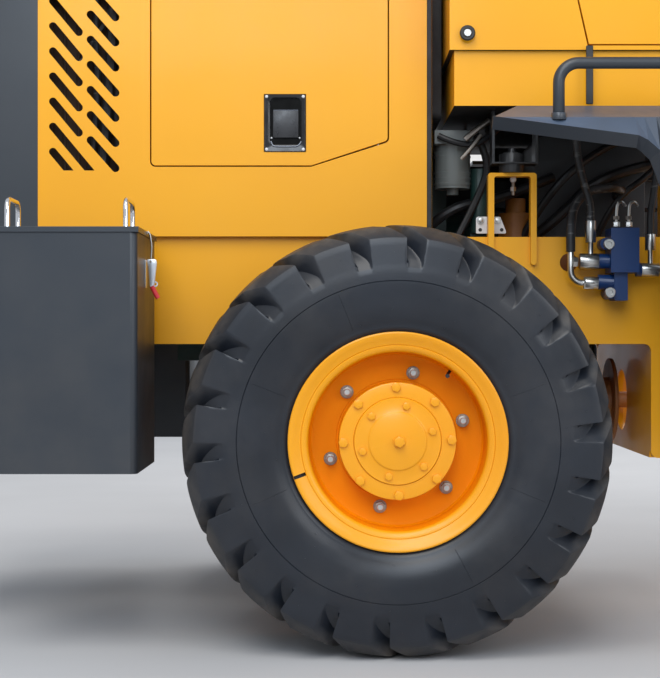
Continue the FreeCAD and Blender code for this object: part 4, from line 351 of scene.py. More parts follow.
LID_TOP = 1.1125
CHROME_START = (LID_TOP, LID_TOP + 0.002)
PAINTS = (
    # name, shader, coat
    ("yellow_paint", paint(*YELLOW, 0.33), 0.15),
    ("rim_paint", paint((0.87, 0.37, 0.004), (0.82, 0.32, 0.003), 0.30, 0.04), 0.15),
    # the disc and the rim's deep faces: a darker, duller orange, painted shade of the recess
    ("disc_paint", paint((0.88, 0.285, 0.001), (0.78, 0.235, 0.001), 0.42, 0.01), 0.0),
    ("grey_paint", paint((0.024, 0.031, 0.040), (0.019, 0.025, 0.033), 0.36, 0.10), 0.1),
    # the decks: dark paint, with a painted sky reflection as the second colour
    ("deck_paint", painted_sky_on_top((0.040, 0.047, 0.058), (0.070, 0.10, 0.155), 0.30), 0.1),
    ("box_paint", paint((0.021, 0.028, 0.038), (0.017, 0.023, 0.032), 0.38, 0.10), 0.0),
    ("lid_paint", part_chromed((0.022, 0.029, 0.039), *CHROME_START), 0.1),
    ("cab_paint", shaded_undersides(*YELLOW, 0.33), 0.15),
    ("bucket_paint", worn_bucket, 0.1),
    ("brown_mat", cast((0.050, 0.026, 0.014), (0.030, 0.018, 0.012), 0.8), 0.0),
    # bluish grey for the latch's lip and paddle edge: painted highlights
    ("latch_edge", paint((0.16, 0.18, 0.22), (0.11, 0.12, 0.15), 0.2, 0.0), 0.3),
    ("zinc_steel", metal((0.72, 0.75, 0.80), (0.62, 0.65, 0.70), 0.30, stained=0.1), 0.0),
    ("black_paint", paint((0.016, 0.017, 0.019), (0.022, 0.023, 0.025), 0.34, 0.10), 0.1),
    ("blue_paint", paint((0.002, 0.036, 0.150), (0.0015, 0.027, 0.118), 0.32, 0.05, 0.12), 0.1),
    ("green_paint", cast((0.008, 0.030, 0.026), (0.012, 0.042, 0.035), 0.45), 0.0),
    ("orange_cast", cast((0.36, 0.13, 0.018), (0.28, 0.09, 0.014), 0.5, 0.8), 0.0),
    ("axle_paint", cast((0.80, 0.34, 0.014), (0.70, 0.28, 0.012), 0.42, 0.15), 0.1),
    ("white_plate", paint((0.72, 0.73, 0.74), (0.66, 0.67, 0.69), 0.4), 0.0),
    ("canister_paint", paint((0.17, 0.185, 0.175), (0.14, 0.155, 0.15), 0.35, 0.08), 0.1),
    ("red_grip", paint((0.72, 0.035, 0.045), (0.62, 0.025, 0.035), 0.35, 0.03), 0.1),
    ("red_plug", paint((0.42, 0.03, 0.02), (0.35, 0.02, 0.015), 0.4, 0.05), 0.0),
    ("bright_steel", metal((0.62, 0.61, 0.58), (0.50, 0.50, 0.48), 0.24), 0.0),
    ("bare_nut", metal((0.36, 0.33, 0.29), (0.28, 0.25, 0.22), 0.36, stained=0.6), 0.0),
    ("chrome_rod", metal((0.78, 0.78, 0.79), (0.72, 0.72, 0.74), 0.09, stained=0.05), 0.0),
)
SHINE = {"yellow_paint": 0.3, "cab_paint": 0.3, "rim_paint": 0.35, "disc_paint": 0.08}
for name, shader, coat in PAINTS:
    finish(name, shader, Coat_Weight=coat, Coat_Roughness=0.12,
           Specular_IOR_Level=SHINE.get(name, 0.5))
print(len(finishes), "paints and metals")

# %% [markdown]
# ## Rubber, glass, cloth and lamps
# New rubber is a dark blue grey that shines softly, and turns brown and dull
# where dust sits: on the shoulders and the tread. The tyre's mesh carries that
# as an attribute named tread, so that the film follows the lugs as they turn.

# %% Rubber and other soft finishes
def tyre_rubber():
    tread = Field.node("ShaderNodeAttribute", {"attribute_name": "tread"}, out=2)
    tone = noise(2.2, 4, 0.6).between(0.3, 0.7).paint((0.008, 0.010, 0.0145), (0.016, 0.020, 0.028))
    haze = noise(4.0, 6, 0.65).between(0.42, 0.72) * 0.35
    film = tread * noise(14.0, 5, 0.6).between(0.25, 0.7) * 0.6 + haze * 0.3
    streaks = noise(60.0, 3, 0.6).between(0.5, 0.9) * 0.12
    return {
        "Base Color": (film + streaks * tread).paint(tone, (0.105, 0.088, 0.072)),
        "Roughness": haze * 0.3 + tread * 0.22 + 0.30,
        "Normal": bump(noise(320.0, 3, 0.6), 0.12, 0.001),
    }


def moulded(colour, shade, rough, grain=700.0, strength=0.15):
    def shader():
        return {
            "Base Color": noise(11.0, 4).between(0.3, 0.7).paint(colour, shade),
            "Roughness": noise(30.0, 4).between(0.3, 0.7) * 0.15 + rough,
            "Normal": bump(noise(grain, 3), strength, 0.0008),
        }
    return shader


def hose_cover():
    print_line = noise(95.0, 2, 0.4, stretch=(0.25, 0.25, 1)).between(0.60, 0.66)
    pale = print_line * noise(9.0, 1).between(0.45, 0.55) * 0.4
    tone = noise(12.0, 3).between(0.3, 0.7).paint((0.012, 0.012, 0.013), (0.022, 0.022, 0.024))
    return {"Base Color": pale.paint(tone, (0.25, 0.25, 0.24)),
            "Roughness": noise(40.0, 3) * 0.2 + 0.38,
            "Normal": bump(noise(800.0, 2), 0.1, 0.0006)}


def seat_cloth():
    across = Field.node("ShaderNodeTexWave", Vector=place_on_piece(), Scale=160.0)
    along = Field.node("ShaderNodeTexWave", {"bands_direction": "Y"}, Vector=place_on_piece(),
                       Scale=160.0)
    weave = across * along
    tone = noise(9.0, 4).between(0.3, 0.7).paint((0.020, 0.021, 0.024), (0.032, 0.033, 0.037))
    return {"Base Color": (weave * 0.5).paint(tone, (0.07, 0.07, 0.075)),
            "Roughness": noise(50.0, 3) * 0.15 + 0.8,
            "Normal": bump(weave + noise(300.0, 3) * 0.5, 0.35, 0.001)}


finish("tyre_rubber", tyre_rubber, Specular_IOR_Level=0.42)
finish("hose_rubber", hose_cover)
finish("plain_hose", moulded((0.006, 0.006, 0.007), (0.014, 0.014, 0.015), 0.4))
finish("black_plastic", moulded((0.014, 0.014, 0.015), (0.024, 0.024, 0.026), 0.42))
finish("gloss_plastic", moulded((0.010, 0.010, 0.011), (0.016, 0.016, 0.018), 0.12, 90.0, 0.03))
# near black for the latch tray's floor: painted shade in the recess
finish("tray_shade_black", moulded((0.002, 0.002, 0.002), (0.004, 0.004, 0.004), 0.5),
       Specular_IOR_Level=0.1)
finish("paddle_plastic", moulded((0.026, 0.026, 0.029), (0.018, 0.018, 0.020), 0.25, 60.0, 0.2))
finish("seal_rubber", moulded((0.010, 0.010, 0.011), (0.020, 0.020, 0.022), 0.55))
finish("seat_fabric", seat_cloth, Sheen_Weight=0.25)
finish("lamp_red", moulded((0.55, 0.02, 0.015), (0.45, 0.015, 0.01), 0.12, 150.0, 0.08),
       Coat_Weight=0.5)
finish("lamp_clear", moulded((0.62, 0.64, 0.66), (0.52, 0.54, 0.57), 0.08, 150.0, 0.08),
       Coat_Weight=1.0)
finish("window_glass", lambda: {"Roughness": noise(3.0).between(0.2, 0.8) * 0.03 + 0.01},
       Base_Color=(0.70, 0.80, 0.80, 1), Transmission_Weight=1.0, IOR=1.45)
print(len(finishes), "finishes")

# %% [markdown]
# ## Forms
# A small detail is gathered from a few forms: a shape turned on a lathe, a
# rounded block, a plate with rounded edges, a bent rod. Each form is made once
# as a mesh at the origin, facing up, and is then put in its places in a piece,
# which keeps one finish for each form.

# %% Forms
def as_mesh(shape):
    mesh = bpy.data.meshes.new("form")
    shape.to_mesh(mesh)
    shape.free()
    return mesh


def turned(profile, steps=32):
    """A profile of (radius, height) spun round the upright axis."""
    shape = bmesh.new()
    points = [shape.verts.new((radius, 0, height)) for radius, height in profile]
    edges = [shape.edges.new(pair) for pair in zip(points, points[1:])]
    bmesh.ops.spin(shape, geom=points + edges, cent=(0, 0, 0), axis=(0, 0, 1),
                   angle=math.tau, steps=steps, use_merge=True)
    bmesh.ops.remove_doubles(shape, verts=shape.verts, dist=1e-6)
    bmesh.ops.recalc_face_normals(shape, faces=shape.faces)
    return as_mesh(shape)


def rounded(shape, edges, radius, segments=2):
    bmesh.ops.bevel(shape, geom=edges, offset=radius, segments=segments, profile=0.5,
                    affect="EDGES", material=-1)


def block(size, radius, segments=2):
    """A block standing on the ground plane, with all its edges rounded."""
    shape = bmesh.new()
    bmesh.ops.create_cube(shape, size=1)
    bmesh.ops.translate(shape, verts=shape.verts, vec=(0, 0, 0.5))
    bmesh.ops.scale(shape, verts=shape.verts, vec=size)
    rounded(shape, shape.edges[:], radius, segments)
    return as_mesh(shape)


def plate(outline, height, radius=0.0, corner=0.0):
    """A plate of the given outline, its upright corners and then its rim rounded."""
    shape = bmesh.new()
    face = shape.faces.new([shape.verts.new((x, y, 0)) for x, y in outline])
    raised_face = bmesh.ops.extrude_face_region(shape, geom=[face])["geom"]
    top = [item for item in raised_face if isinstance(item, bmesh.types.BMVert)]
    bmesh.ops.translate(shape, verts=top, vec=(0, 0, height))
    bmesh.ops.recalc_face_normals(shape, faces=shape.faces)
    if corner:
        upright = [edge for edge in shape.edges
                   if abs(edge.verts[0].co.z - edge.verts[1].co.z) > height / 2]
        rounded(shape, upright, corner, 4)
    if radius:
        rim = [edge for edge in shape.edges if min(v.co.z for v in edge.verts) > height * 0.99]
        rounded(shape, rim, radius)
    return as_mesh(shape)


def rectangle(width, height):
    return [(-width / 2, -height / 2), (width / 2, -height / 2), (width / 2, height / 2),
            (-width / 2, height / 2)]


def rod(points, radius, order=3):
    """A round rod along a smooth line through a few control points."""
    curve = bpy.data.curves.new("line", "CURVE")
    curve.dimensions = "3D"
    curve.bevel_depth = radius
    curve.bevel_resolution = 3
    curve.use_fill_caps = True
    line = curve.splines.new("NURBS")
    line.points.add(len(points) - 1)
    for point, place in zip(line.points, points):
        point.co = (*place, 1)
    line.order_u = order
    line.use_endpoint_u = True
    line.resolution_u = 6
    holder = bpy.data.objects.new("line", curve)
    mesh = bpy.data.meshes.new_from_object(holder)
    bpy.data.objects.remove(holder)
    return mesh


def hexagon(across, height, chamfer=0.0012):
    """A six-sided head with its upper corners chamfered."""
    shape = bmesh.new()
    bmesh.ops.create_cone(shape, cap_ends=True, segments=6, radius1=across / math.sqrt(3),
                          radius2=across / math.sqrt(3), depth=height)
    bmesh.ops.translate(shape, verts=shape.verts, vec=(0, 0, height / 2))
    rim = [edge for edge in shape.edges if min(v.co.z for v in edge.verts) > height * 0.99]
    rounded(shape, rim, chamfer)
    return as_mesh(shape)


def disc(radius, height, edge=0.001, steps=24):
    return turned([(radius, 0), (radius, height - edge), (radius - edge, height), (0, height)],
                  steps)


class Piece:
    """One object gathered from forms, each with its own finish."""

    def __init__(self, name):
        self.name = name
        self.shape = bmesh.new()
        self.finishes = []

    def add(self, form, finish_name, *places):
        """Put a form in each of its places."""
        if finish_name not in self.finishes:
            self.finishes.append(finish_name)
        for place in places or (Matrix(),):
            verts, faces = len(self.shape.verts), len(self.shape.faces)
            self.shape.from_mesh(form)
            self.shape.verts.ensure_lookup_table()
            self.shape.faces.ensure_lookup_table()
            new_faces = self.shape.faces[faces:]
            bmesh.ops.transform(self.shape, matrix=place, verts=self.shape.verts[verts:])
            if place.determinant() < 0:
                bmesh.ops.reverse_faces(self.shape, faces=new_faces)
            for face in new_faces:
                face.material_index = self.finishes.index(finish_name)
        return self

    def done(self, body, smooth=35):
        """Keep it as an object that rides on a body."""
        mesh = bpy.data.meshes.new(self.name)
        self.shape.to_mesh(mesh)
        self.shape.free()
        mesh.shade_smooth()
        mesh.set_sharp_from_angle(angle=math.radians(smooth))
        for finish_name in self.finishes:
            mesh.materials.append(finishes[finish_name])
        piece = bpy.data.objects.new(self.name, mesh)
        scene.collection.objects.link(piece)
        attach(piece, body)
        return piece


def at(point, turn=0.0):
    """A place that a form faces outward from, on the machine's right side."""
    return (Matrix.Translation(point) @ Matrix.Rotation(math.radians(90), 4, "X")
            @ Matrix.Rotation(math.radians(turn), 4, "Z"))


def upright(point, turn=0.0):
    return Matrix.Translation(point) @ Matrix.Rotation(math.radians(turn), 4, "Z")


def ahead(point):
    """A place that a form faces forward from, its height upright."""
    return (Matrix.Translation(point) @ Matrix.Rotation(math.radians(90), 4, "Y")
            @ Matrix.Rotation(math.radians(90), 4, "Z"))


OTHER_SIDE = Matrix.Scale(-1, 4, (0, 1, 0))
print("forms ready")

# %% [markdown]
# ## Tyre
# Each half of the tyre has 22 lugs. Between them the skin sinks from the
# shoulder's ring to the tread in one curve, and the grooves slant backward as
# they go inward. So a single pitch is modelled, from the middle of one lug to
# the next: a grid whose rows follow the section from the bead to the middle of
# the tread and whose columns go round. Every point is a mix of two sections,
# that of a lug and that of a groove. The pitch is spun round the axle and
# mirrored with half a pitch between the halves, as on the real tyre.

# %% Sections of the tyre
LUGS = 22
PITCH = math.tau / LUGS
LUG_PHASE = math.radians(13.5)
RING = 0.2222
TYRE_SECTION = (
    # a lug's skin: from the middle plane, radius; a groove's skin: the same
    (0.1680, 0.2635, 0.1680, 0.2635), (0.1880, 0.2640, 0.1880, 0.2640),
    (0.1935, 0.2700, 0.1935, 0.2700), (0.1940, 0.2795, 0.1940, 0.2795),
    (0.1965, 0.2850, 0.1965, 0.2850), (0.2010, 0.2905, 0.2010, 0.2905),
    (0.2030, 0.2950, 0.2030, 0.2950), (0.2035, 0.2985, 0.2035, 0.2985),
    (0.2085, 0.3060, 0.2085, 0.3060), (0.2160, 0.3250, 0.2160, 0.3250),
    (0.2215, 0.3500, 0.2215, 0.3500), (0.2242, 0.3780, 0.2242, 0.3780),
    (0.2250, 0.4020, 0.2250, 0.4020), (0.2248, 0.4082, 0.2248, 0.4082),
    (0.2232, 0.4096, 0.2232, 0.4096), (0.2246, 0.4110, 0.2246, 0.4110),
    (0.2240, 0.4280, 0.2240, 0.4280), (0.2228, 0.4420, 0.2228, 0.4420),
    (0.2222, 0.4470, 0.2216, 0.4450), (0.2215, 0.4550, 0.2165, 0.4560),
    (0.2205, 0.4680, 0.2095, 0.4680), (0.2192, 0.4840, 0.2015, 0.4790),
    (0.2180, 0.5000, 0.1930, 0.4890), (0.2168, 0.5130, 0.1845, 0.4975),
    (0.2150, 0.5190, 0.1780, 0.5020), (0.2115, 0.5225, 0.1720, 0.5050),
    (0.2020, 0.5300, 0.1640, 0.5080), (0.1900, 0.5390, 0.1560, 0.5100),
    (0.1790, 0.5465, 0.1480, 0.5115), (0.1740, 0.5488, 0.1400, 0.5130),
    (0.1660, 0.5503, 0.1300, 0.5140), (0.1300, 0.5545, 0.1100, 0.5165),
    (0.0900, 0.5585, 0.0800, 0.5190), (0.0500, 0.5610, 0.0500, 0.5210),
    (0.0200, 0.5620, 0.0220, 0.5220), (0.0145, 0.5600, 0.0170, 0.5220),
    (0.0120, 0.5540, 0.0140, 0.5220), (0.0090, 0.5260, 0.0090, 0.5220),
    (0.0070, 0.5222, 0.0070, 0.5220), (0.0000, 0.5220, 0.0000, 0.5220),
)
LUG_EDGE, GROOVE_EDGE = 0.334, 0.378
TYRE_COLUMNS = (
    # place in the pitch, share of the lug's section; walls stand between the two edges
    *((place, 1) for place in (0, 0.11, 0.22, 0.29, 0.322)),
    *((None, share) for share in (0.965, 0.8, 0.5, 0.2, 0.04)),
    *((place, 0) for place in (0.396, 0.45, 0.5, 0.55, 0.604)),
    *((None, share) for share in (0.04, 0.2, 0.5, 0.8, 0.965)),
    *((place, 1) for place in (0.678, 0.71, 0.78, 0.89)),
)
print(len(TYRE_SECTION), "rows,", len(TYRE_COLUMNS), "columns in a pitch")


# %% One pitch, spun and mirrored
def slant(across, radius):
    """How far the skin lies behind its place at the shoulder, as an angle."""
    inward = max(0.0, RING - 0.008 - across)
    steep = min(inward, 0.055)
    return (steep * 1.25 + (inward - steep) * 0.25) / radius if radius > 0.444 else 0.0


def on_wheel(across, radius, angle):
    return Vector((radius * math.sin(angle), -across, radius * math.cos(angle)))


def tyre_point(row, column):
    columns = len(TYRE_COLUMNS)
    lug_across, lug_radius, groove_across, groove_radius = TYRE_SECTION[row]
    if row == len(TYRE_SECTION) - 1:
        turn = (column / columns - 0.75) * PITCH
        return on_wheel(lug_across, lug_radius, turn + LUG_PHASE)
    place, share = TYRE_COLUMNS[column % columns]
    whole = column // columns
    if place is None:
        second = column > columns / 2
        lug_place = 1 - LUG_EDGE if second else LUG_EDGE
        groove_place = 1 - GROOVE_EDGE if second else GROOVE_EDGE
    else:
        lug_place = groove_place = place + whole
    lug = on_wheel(lug_across, lug_radius,
                   LUG_PHASE + lug_place * PITCH - slant(lug_across, lug_radius))
    groove = on_wheel(groove_across, groove_radius,
                      LUG_PHASE + groove_place * PITCH - slant(groove_across, groove_radius))
    return groove.lerp(lug, share)


def vent_nibs(shape):
    """Hairs of rubber that the mould's vents leave, out of the lugs and the sidewall."""
    # radius, distance from the middle plane, number round the tyre, first one
    for radius, across, count, first in ((0.482, 0.2194, LUGS, 0.03), (0.425, 0.2240, 11, 0.1),
                                         (0.376, 0.2240, 16, 0.05), (0.338, 0.2190, 13, 0.2),
                                         (0.312, 0.2110, 9, 0.15)):
        for number in range(count):
            made = bmesh.ops.create_cone(shape, cap_ends=True, segments=5, radius1=0.0013,
                                         radius2=0.0007, depth=0.004)
            facing = Matrix.Rotation(math.radians(90), 4, "X")
            turn = first + LUG_PHASE + math.tau * number / count
            bmesh.ops.transform(shape, verts=made["verts"],
                                matrix=Matrix.Translation(on_wheel(across, radius, turn)) @ facing)


def mould_lines(shape):
    """Thin radial ridges where the mould's segments met."""
    rows = TYRE_SECTION[8:13]
    for degrees in (68, 112, 152, 247, 292, 338):
        made = bmesh.ops.create_grid(shape, x_segments=2, y_segments=len(rows) - 1, size=0.5)
        for vertex in made["verts"]:
            side, row = round(vertex.co.x * 2), round((vertex.co.y + 0.5) * (len(rows) - 1))
            across, radius = rows[row][:2]
            lift = 0.0007 if side == 0 else -0.0004
            vertex.co = on_wheel(across + lift, radius, math.radians(degrees) + side * 0.003)


def tyre_mesh():
    rows, columns = len(TYRE_SECTION), len(TYRE_COLUMNS)
    shape = bmesh.new()
    bmesh.ops.create_grid(shape, x_segments=columns, y_segments=rows - 1, size=0.5)
    for vertex in shape.verts:
        column = round((vertex.co.x + 0.5) * columns)
        row = round((vertex.co.y + 0.5) * (rows - 1))
        vertex.co = tyre_point(row, column)
    bmesh.ops.spin(shape, geom=shape.verts[:] + shape.edges[:] + shape.faces[:], cent=(0, 0, 0),
                   axis=(0, 1, 0), angle=PITCH * (LUGS - 1), steps=LUGS - 1, use_duplicate=True)
    bmesh.ops.remove_doubles(shape, verts=shape.verts, dist=1e-5)
    half = bmesh.ops.duplicate(shape, geom=shape.verts[:] + shape.edges[:] + shape.faces[:])["geom"]
    other = [item for item in half if isinstance(item, bmesh.types.BMVert)]
    bmesh.ops.transform(shape, verts=other, matrix=Matrix.Rotation(PITCH / 2, 4, "Y") @ OTHER_SIDE)
    bmesh.ops.remove_doubles(shape, verts=shape.verts, dist=1e-5)
    beads = [edge for edge in shape.edges if edge.is_boundary]
    bmesh.ops.bridge_loops(shape, edges=beads)
    bmesh.ops.recalc_face_normals(shape, faces=shape.faces)
    for extra in (vent_nibs, mould_lines):
        extra(shape)
    mesh = as_mesh(shape)
    mesh.shade_smooth()
    mesh.set_sharp_from_angle(angle=math.radians(26))
    tread = mesh.attributes.new("tread", "FLOAT", "POINT")
    reach = [math.hypot(vertex.co.x, vertex.co.z) for vertex in mesh.vertices]
    tread.data.foreach_set("value", [min(1.0, max(0.0, (far - 0.512) / 0.03)) for far in reach])
    return mesh


tyre_form = tyre_mesh()
for end in ("rear", "front"):
    for side, turn in (("right", 0), ("left", 180)):
        node = f"tyre_{end}_{side}"
        mesh = tyre_form.copy()
        mesh.transform(upright(middle_of(node), turn))
        mesh.materials.append(finishes["tyre_rubber"])
        tyre = bpy.data.objects.new(f"lugged_tyre_{end}_{side}", mesh)
        scene.collection.objects.link(tyre)
        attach(tyre, f"wheel_{end}_{side}")
        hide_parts(node)
print(len(tyre_form.polygons), "faces in a tyre")

# %% [markdown]
# ## Rim
# The rim, its disc and the planetary hub are one turned shape. On the real rim
# the outer face is a rolled lip with the seam of the lock ring in it, and the
# disc sits deep inside. The profile is written from the back of the outer
# flange round to the back of the hub; the deep faces get a darker, duller
# orange, which is painted shade of the recess. The nuts, the bolts, the valve
# and the notch for the tyre lever come after.

# %% Rim and its bolts
RIM_PROFILE = (
    # radius and distance out from the middle of the wheel
    (0.2617, 0.195), (0.2760, 0.1950), (0.2800, 0.1965), (0.2810, 0.2000), (0.2800, 0.2035),
    (0.2770, 0.2050), (0.2710, 0.2040), (0.2620, 0.1995), (0.2540, 0.1957), (0.2484, 0.1938),
    (0.2474, 0.1918), (0.2462, 0.1932), (0.2420, 0.1925), (0.2360, 0.1905), (0.2315, 0.1868),
    (0.2288, 0.1810), (0.2280, 0.1720), (0.2275, 0.1200), (0.2262, 0.0990), (0.2215, 0.0920),
    (0.2140, 0.0902), (0.1900, 0.0900), (0.1580, 0.0900), (0.1565, 0.0880), (0.1530, 0.0880),
    (0.1515, 0.0900), (0.1510, 0.1600), (0.1495, 0.1632), (0.1470, 0.1640), (0.1134, 0.1640),
    (0.1127, 0.1625), (0.1119, 0.1660), (0.1105, 0.1680), (0.0780, 0.1680), (0.0752, 0.1692),
    (0.0735, 0.1712), (0.0715, 0.1720), (0.0000, 0.1720),
)
RIM_BACK = (
    (0.2617, 0.195), (0.2617, -0.195), (0.2750, -0.1950), (0.2810, -0.2000), (0.2770, -0.2050),
    (0.2620, -0.2000), (0.2400, -0.1940), (0.2290, -0.1860), (0.2280, -0.1700), (0.2280, 0.0640),
    (0.2200, 0.0740), (0.1500, 0.0760), (0.1210, 0.0760), (0.1210, -0.1000), (0.0000, -0.1000),
)
WHEEL_BOLTS = (
    # radius of the circle, first one clockwise from the top, number, distance out
    ("nut", 0.179, 13.9, 6, 0.0900),
    ("flange_bolt", 0.139, -1.5, 8, 0.1640),
    ("cover_bolt", 0.093, 14.0, 6, 0.1680),
)


def stepped_head(across, height, washer=0.0):
    """A six-sided head, on its washer where it has one."""
    head = Piece("head")
    if washer:
        head.add(disc(washer, 0.003, 0.0008), "bright_steel")
    head.add(hexagon(across, height), "bright_steel", Matrix.Translation((0, 0, washer and 0.003)))
    return as_mesh(head.shape)


wheel_heads = {
    "nut": stepped_head(0.0255, 0.017, 0.0175),
    "stud": turned([(0.0085, 0), (0.0085, 0.0265), (0.0072, 0.028), (0, 0.028)], 20),
    "flange_bolt": stepped_head(0.0225, 0.0075, 0.0),
    "cover_bolt": stepped_head(0.0185, 0.0060, 0.0),
}


NOTCH_TURN = math.radians(251)
NOTCH_HALF = 0.0045
NOTCH_DEPTH = 0.0095


def in_notch(point):
    """Whether a point of the outer flange lies in the notch for the tyre lever."""
    across = point.dot(Vector((math.cos(NOTCH_TURN), 0, -math.sin(NOTCH_TURN))))
    reach = point.dot(Vector((math.sin(NOTCH_TURN), 0, math.cos(NOTCH_TURN))))
    return abs(across) < NOTCH_HALF and 0.249 < reach < 0.279 and point.y < -0.17


def lever_notch(shape):
    """Sink a short slot into the outer flange, where a tyre lever goes in."""
    across = Vector((math.cos(NOTCH_TURN), 0, -math.sin(NOTCH_TURN)))
    for offset in (-NOTCH_HALF, NOTCH_HALF):
        near = shape.verts[:] + shape.edges[:] + shape.faces[:]
        bmesh.ops.bisect_plane(shape, geom=near, plane_co=across * offset, plane_no=across)
    sunk = [face for face in shape.faces
            if in_notch(face.calc_center_median()) and face.normal.y < -0.5]
    walls = bmesh.ops.extrude_face_region(shape, geom=sunk)["geom"]
    floor = [item for item in walls if isinstance(item, bmesh.types.BMVert)]
    bmesh.ops.translate(shape, verts=floor, vec=(0, NOTCH_DEPTH, 0))
    bmesh.ops.delete(shape, geom=sunk, context="FACES")
    return [item for item in walls if isinstance(item, bmesh.types.BMFace)]


def rim_mesh():
    section = list(RIM_PROFILE) + list(reversed(RIM_BACK))[0:-1]
    rim = turned([(radius, out) for radius, out in section] + [section[0]], 96)
    shape = bmesh.new()
    shape.from_mesh(rim)
    bmesh.ops.transform(shape, matrix=at((0, 0, 0)), verts=shape.verts)
    dark = lever_notch(shape)
    for face in shape.faces:
        middle = face.calc_center_median()
        reach = math.hypot(middle.x, middle.z)
        # deep faces take the darker orange: painted shade of the recess
        deep = -0.1 < middle.y + 0.09 < 0.012 and 0.151 < reach < 0.2285
        face.material_index = 1 if deep or (middle.y > -0.16 and reach > 0.1512) else 0
    # the notch's walls and floor take black rubber: painted shade in the slot
    for face in shape.faces:
        if face in dark or in_notch(face.calc_center_median()):
            face.material_index = 2
    return as_mesh(shape)


def valve_stem():
    """The tyre's valve, standing out of the rim's well toward the hub."""
    turn = math.radians(37.5)
    line = [on_wheel(0.112, 0.229, turn), on_wheel(0.115, 0.220, turn),
            on_wheel(0.130, 0.214, turn), on_wheel(0.150, 0.211, turn)]
    return rod(line, 0.0042), rod(line[-1:] + [on_wheel(0.163, 0.2105, turn)], 0.0055, 2)


rim_form = rim_mesh()
stem_form, cap_form = valve_stem()
for end in ("rear", "front"):
    for side, turn in (("right", 0), ("left", 180)):
        node = f"rim_{end}_{side}"
        rim = Piece(f"dressed_rim_{end}_{side}")
        place = upright(middle_of(node), turn)
        # second finish: painted shade on the deep faces; third, black rubber: painted shade in the
        # notch, and the valve's own rubber
        rim.finishes = ["rim_paint", "disc_paint", "seal_rubber"]
        rim.shape.from_mesh(rim_form)
        bmesh.ops.transform(rim.shape, matrix=place, verts=rim.shape.verts)
        for kind, radius, first, count, out in WHEEL_BOLTS:
            paint_name = "bare_nut" if kind == "nut" else "rim_paint"
            for number in range(count):
                angle = math.radians(first + 360 * number / count)
                point = on_wheel(out, radius, angle)
                where = place @ at(point, 17 + 31 * number)
                rim.add(wheel_heads[kind], paint_name, where)
                if kind == "nut":
                    rim.add(wheel_heads["stud"], "bright_steel", where)
        rim.add(wheel_heads["nut"], "rim_paint", place @ at((0.004, -0.1705, 0), 10))
        rim.add(stem_form, "seal_rubber", place)
        rim.add(cap_form, "black_plastic", place)
        dressed = rim.done(f"wheel_{end}_{side}", 30)
        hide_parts(node)
print(len(rim_form.polygons), "faces in a rim")

# %% [markdown]
# ## Which finish goes where
# The CAD nodes keep their shape and get their finish from a short table. Steel
# sheet has no knife edges: each painted node's edges are softened by a bevel of
# a millimetre or two, after its flat faces are joined again, so that they catch
# the light as pressed and welded sheet does.

# %% Finish of each node
NODE_FINISH = {
    "yellow_paint": ("hood", "engine_door", "rear_frame", "front_frame", "cab_frame",
                     "cab_roof", "cab_door", "boom", "tilt_lever", "tilt_link",
                     "lift_barrels", "tilt_barrel", "steer_barrel", "front_fenders"),
    "bucket_paint": ("bucket",),
    "cab_paint": ("cab_base",),
    "axle_paint": ("rear_axle_housing", "front_axle_housing"),
    "rim_paint": ("rim",),
    "grey_paint": ("rear_cowl", "radiator", "handrails", "exhaust_stack", "air_intake"),
    "deck_paint": ("platforms",),
    "box_paint": ("counterweight", "side_boxes"),
    "lid_paint": ("box_lid",),
    "black_paint": ("seat_base", "front_propshaft", "front_lamps", "cab_mounts",
                    "hydraulic_tank"),
    "black_plastic": ("controls",),
    "green_paint": ("engine",),
    "orange_cast": ("transmission",),
    "blue_paint": ("steering_valve",),
    "canister_paint": ("fuel_filter",),
    "tyre_rubber": ("tyre",),
    "hose_rubber": ("hydraulic_hoses",),
    "bright_steel": ("hose_fittings",),
    "chrome_rod": ("lift_rods", "tilt_rod", "steer_rod"),
    "seat_fabric": ("seat_cushion",),
    "lamp_red": ("rear_lamps",),
    "window_glass": ("cab_windows", "cab_door_glass"),
}
SHARP_NODES = ("tyre", "rim", "cab_windows", "cab_door_glass", "hydraulic_hoses",
               "seat_cushion", "lift_rods", "tilt_rod", "steer_rod")


def soften(piece, width):
    """Join a CAD node's flat faces and round its edges a little."""
    weld = piece.modifiers.new("weld", "WELD")
    weld.merge_threshold = 1e-5
    flat = piece.modifiers.new("flat", "DECIMATE")
    flat.decimate_type = "DISSOLVE"
    flat.angle_limit = math.radians(0.5)
    edge = piece.modifiers.new("edge", "BEVEL")
    edge.width = width
    edge.segments = 2
    edge.limit_method = "ANGLE"
    edge.angle_limit = math.radians(40)
    edge.harden_normals = True


for name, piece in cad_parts.items():
    matches = [(len(start), finish_name) for finish_name, starts in NODE_FINISH.items()
               for start in starts if name.startswith(start)]
    piece.data.materials.clear()
    piece.data.materials.append(finishes[max(matches)[1]])
    if not name.startswith(SHARP_NODES):
        soften(piece, 0.0018)
print("every node has a finish")

# %% [markdown]
# ## Small parts on the right side and their twins
# These are the details that the photograph shows: the sunken door latch with
# its rivets, the toggle on the box, the strap and hoses below the cab, the
# plugs of the steering valve. A frame that dips into a tray is a row of rounded
# rings, each joined to the next by a band of faces.

# %% Rings and lofts
def ring(width, height, corner, level, middle=(0, 0), steps=5):
    """A rounded rectangle as points, at one level."""
    points = []
    for quarter, (across, up) in enumerate(((1, 1), (-1, 1), (-1, -1), (1, -1))):
        centre_x = middle[0] + across * (width / 2 - corner)
        centre_y = middle[1] + up * (height / 2 - corner)
        for step in range(steps + 1):
            angle = math.radians(90) * (quarter + step / steps)
            points.append((centre_x + corner * math.cos(angle),
                           centre_y + corner * math.sin(angle), level))
    return points


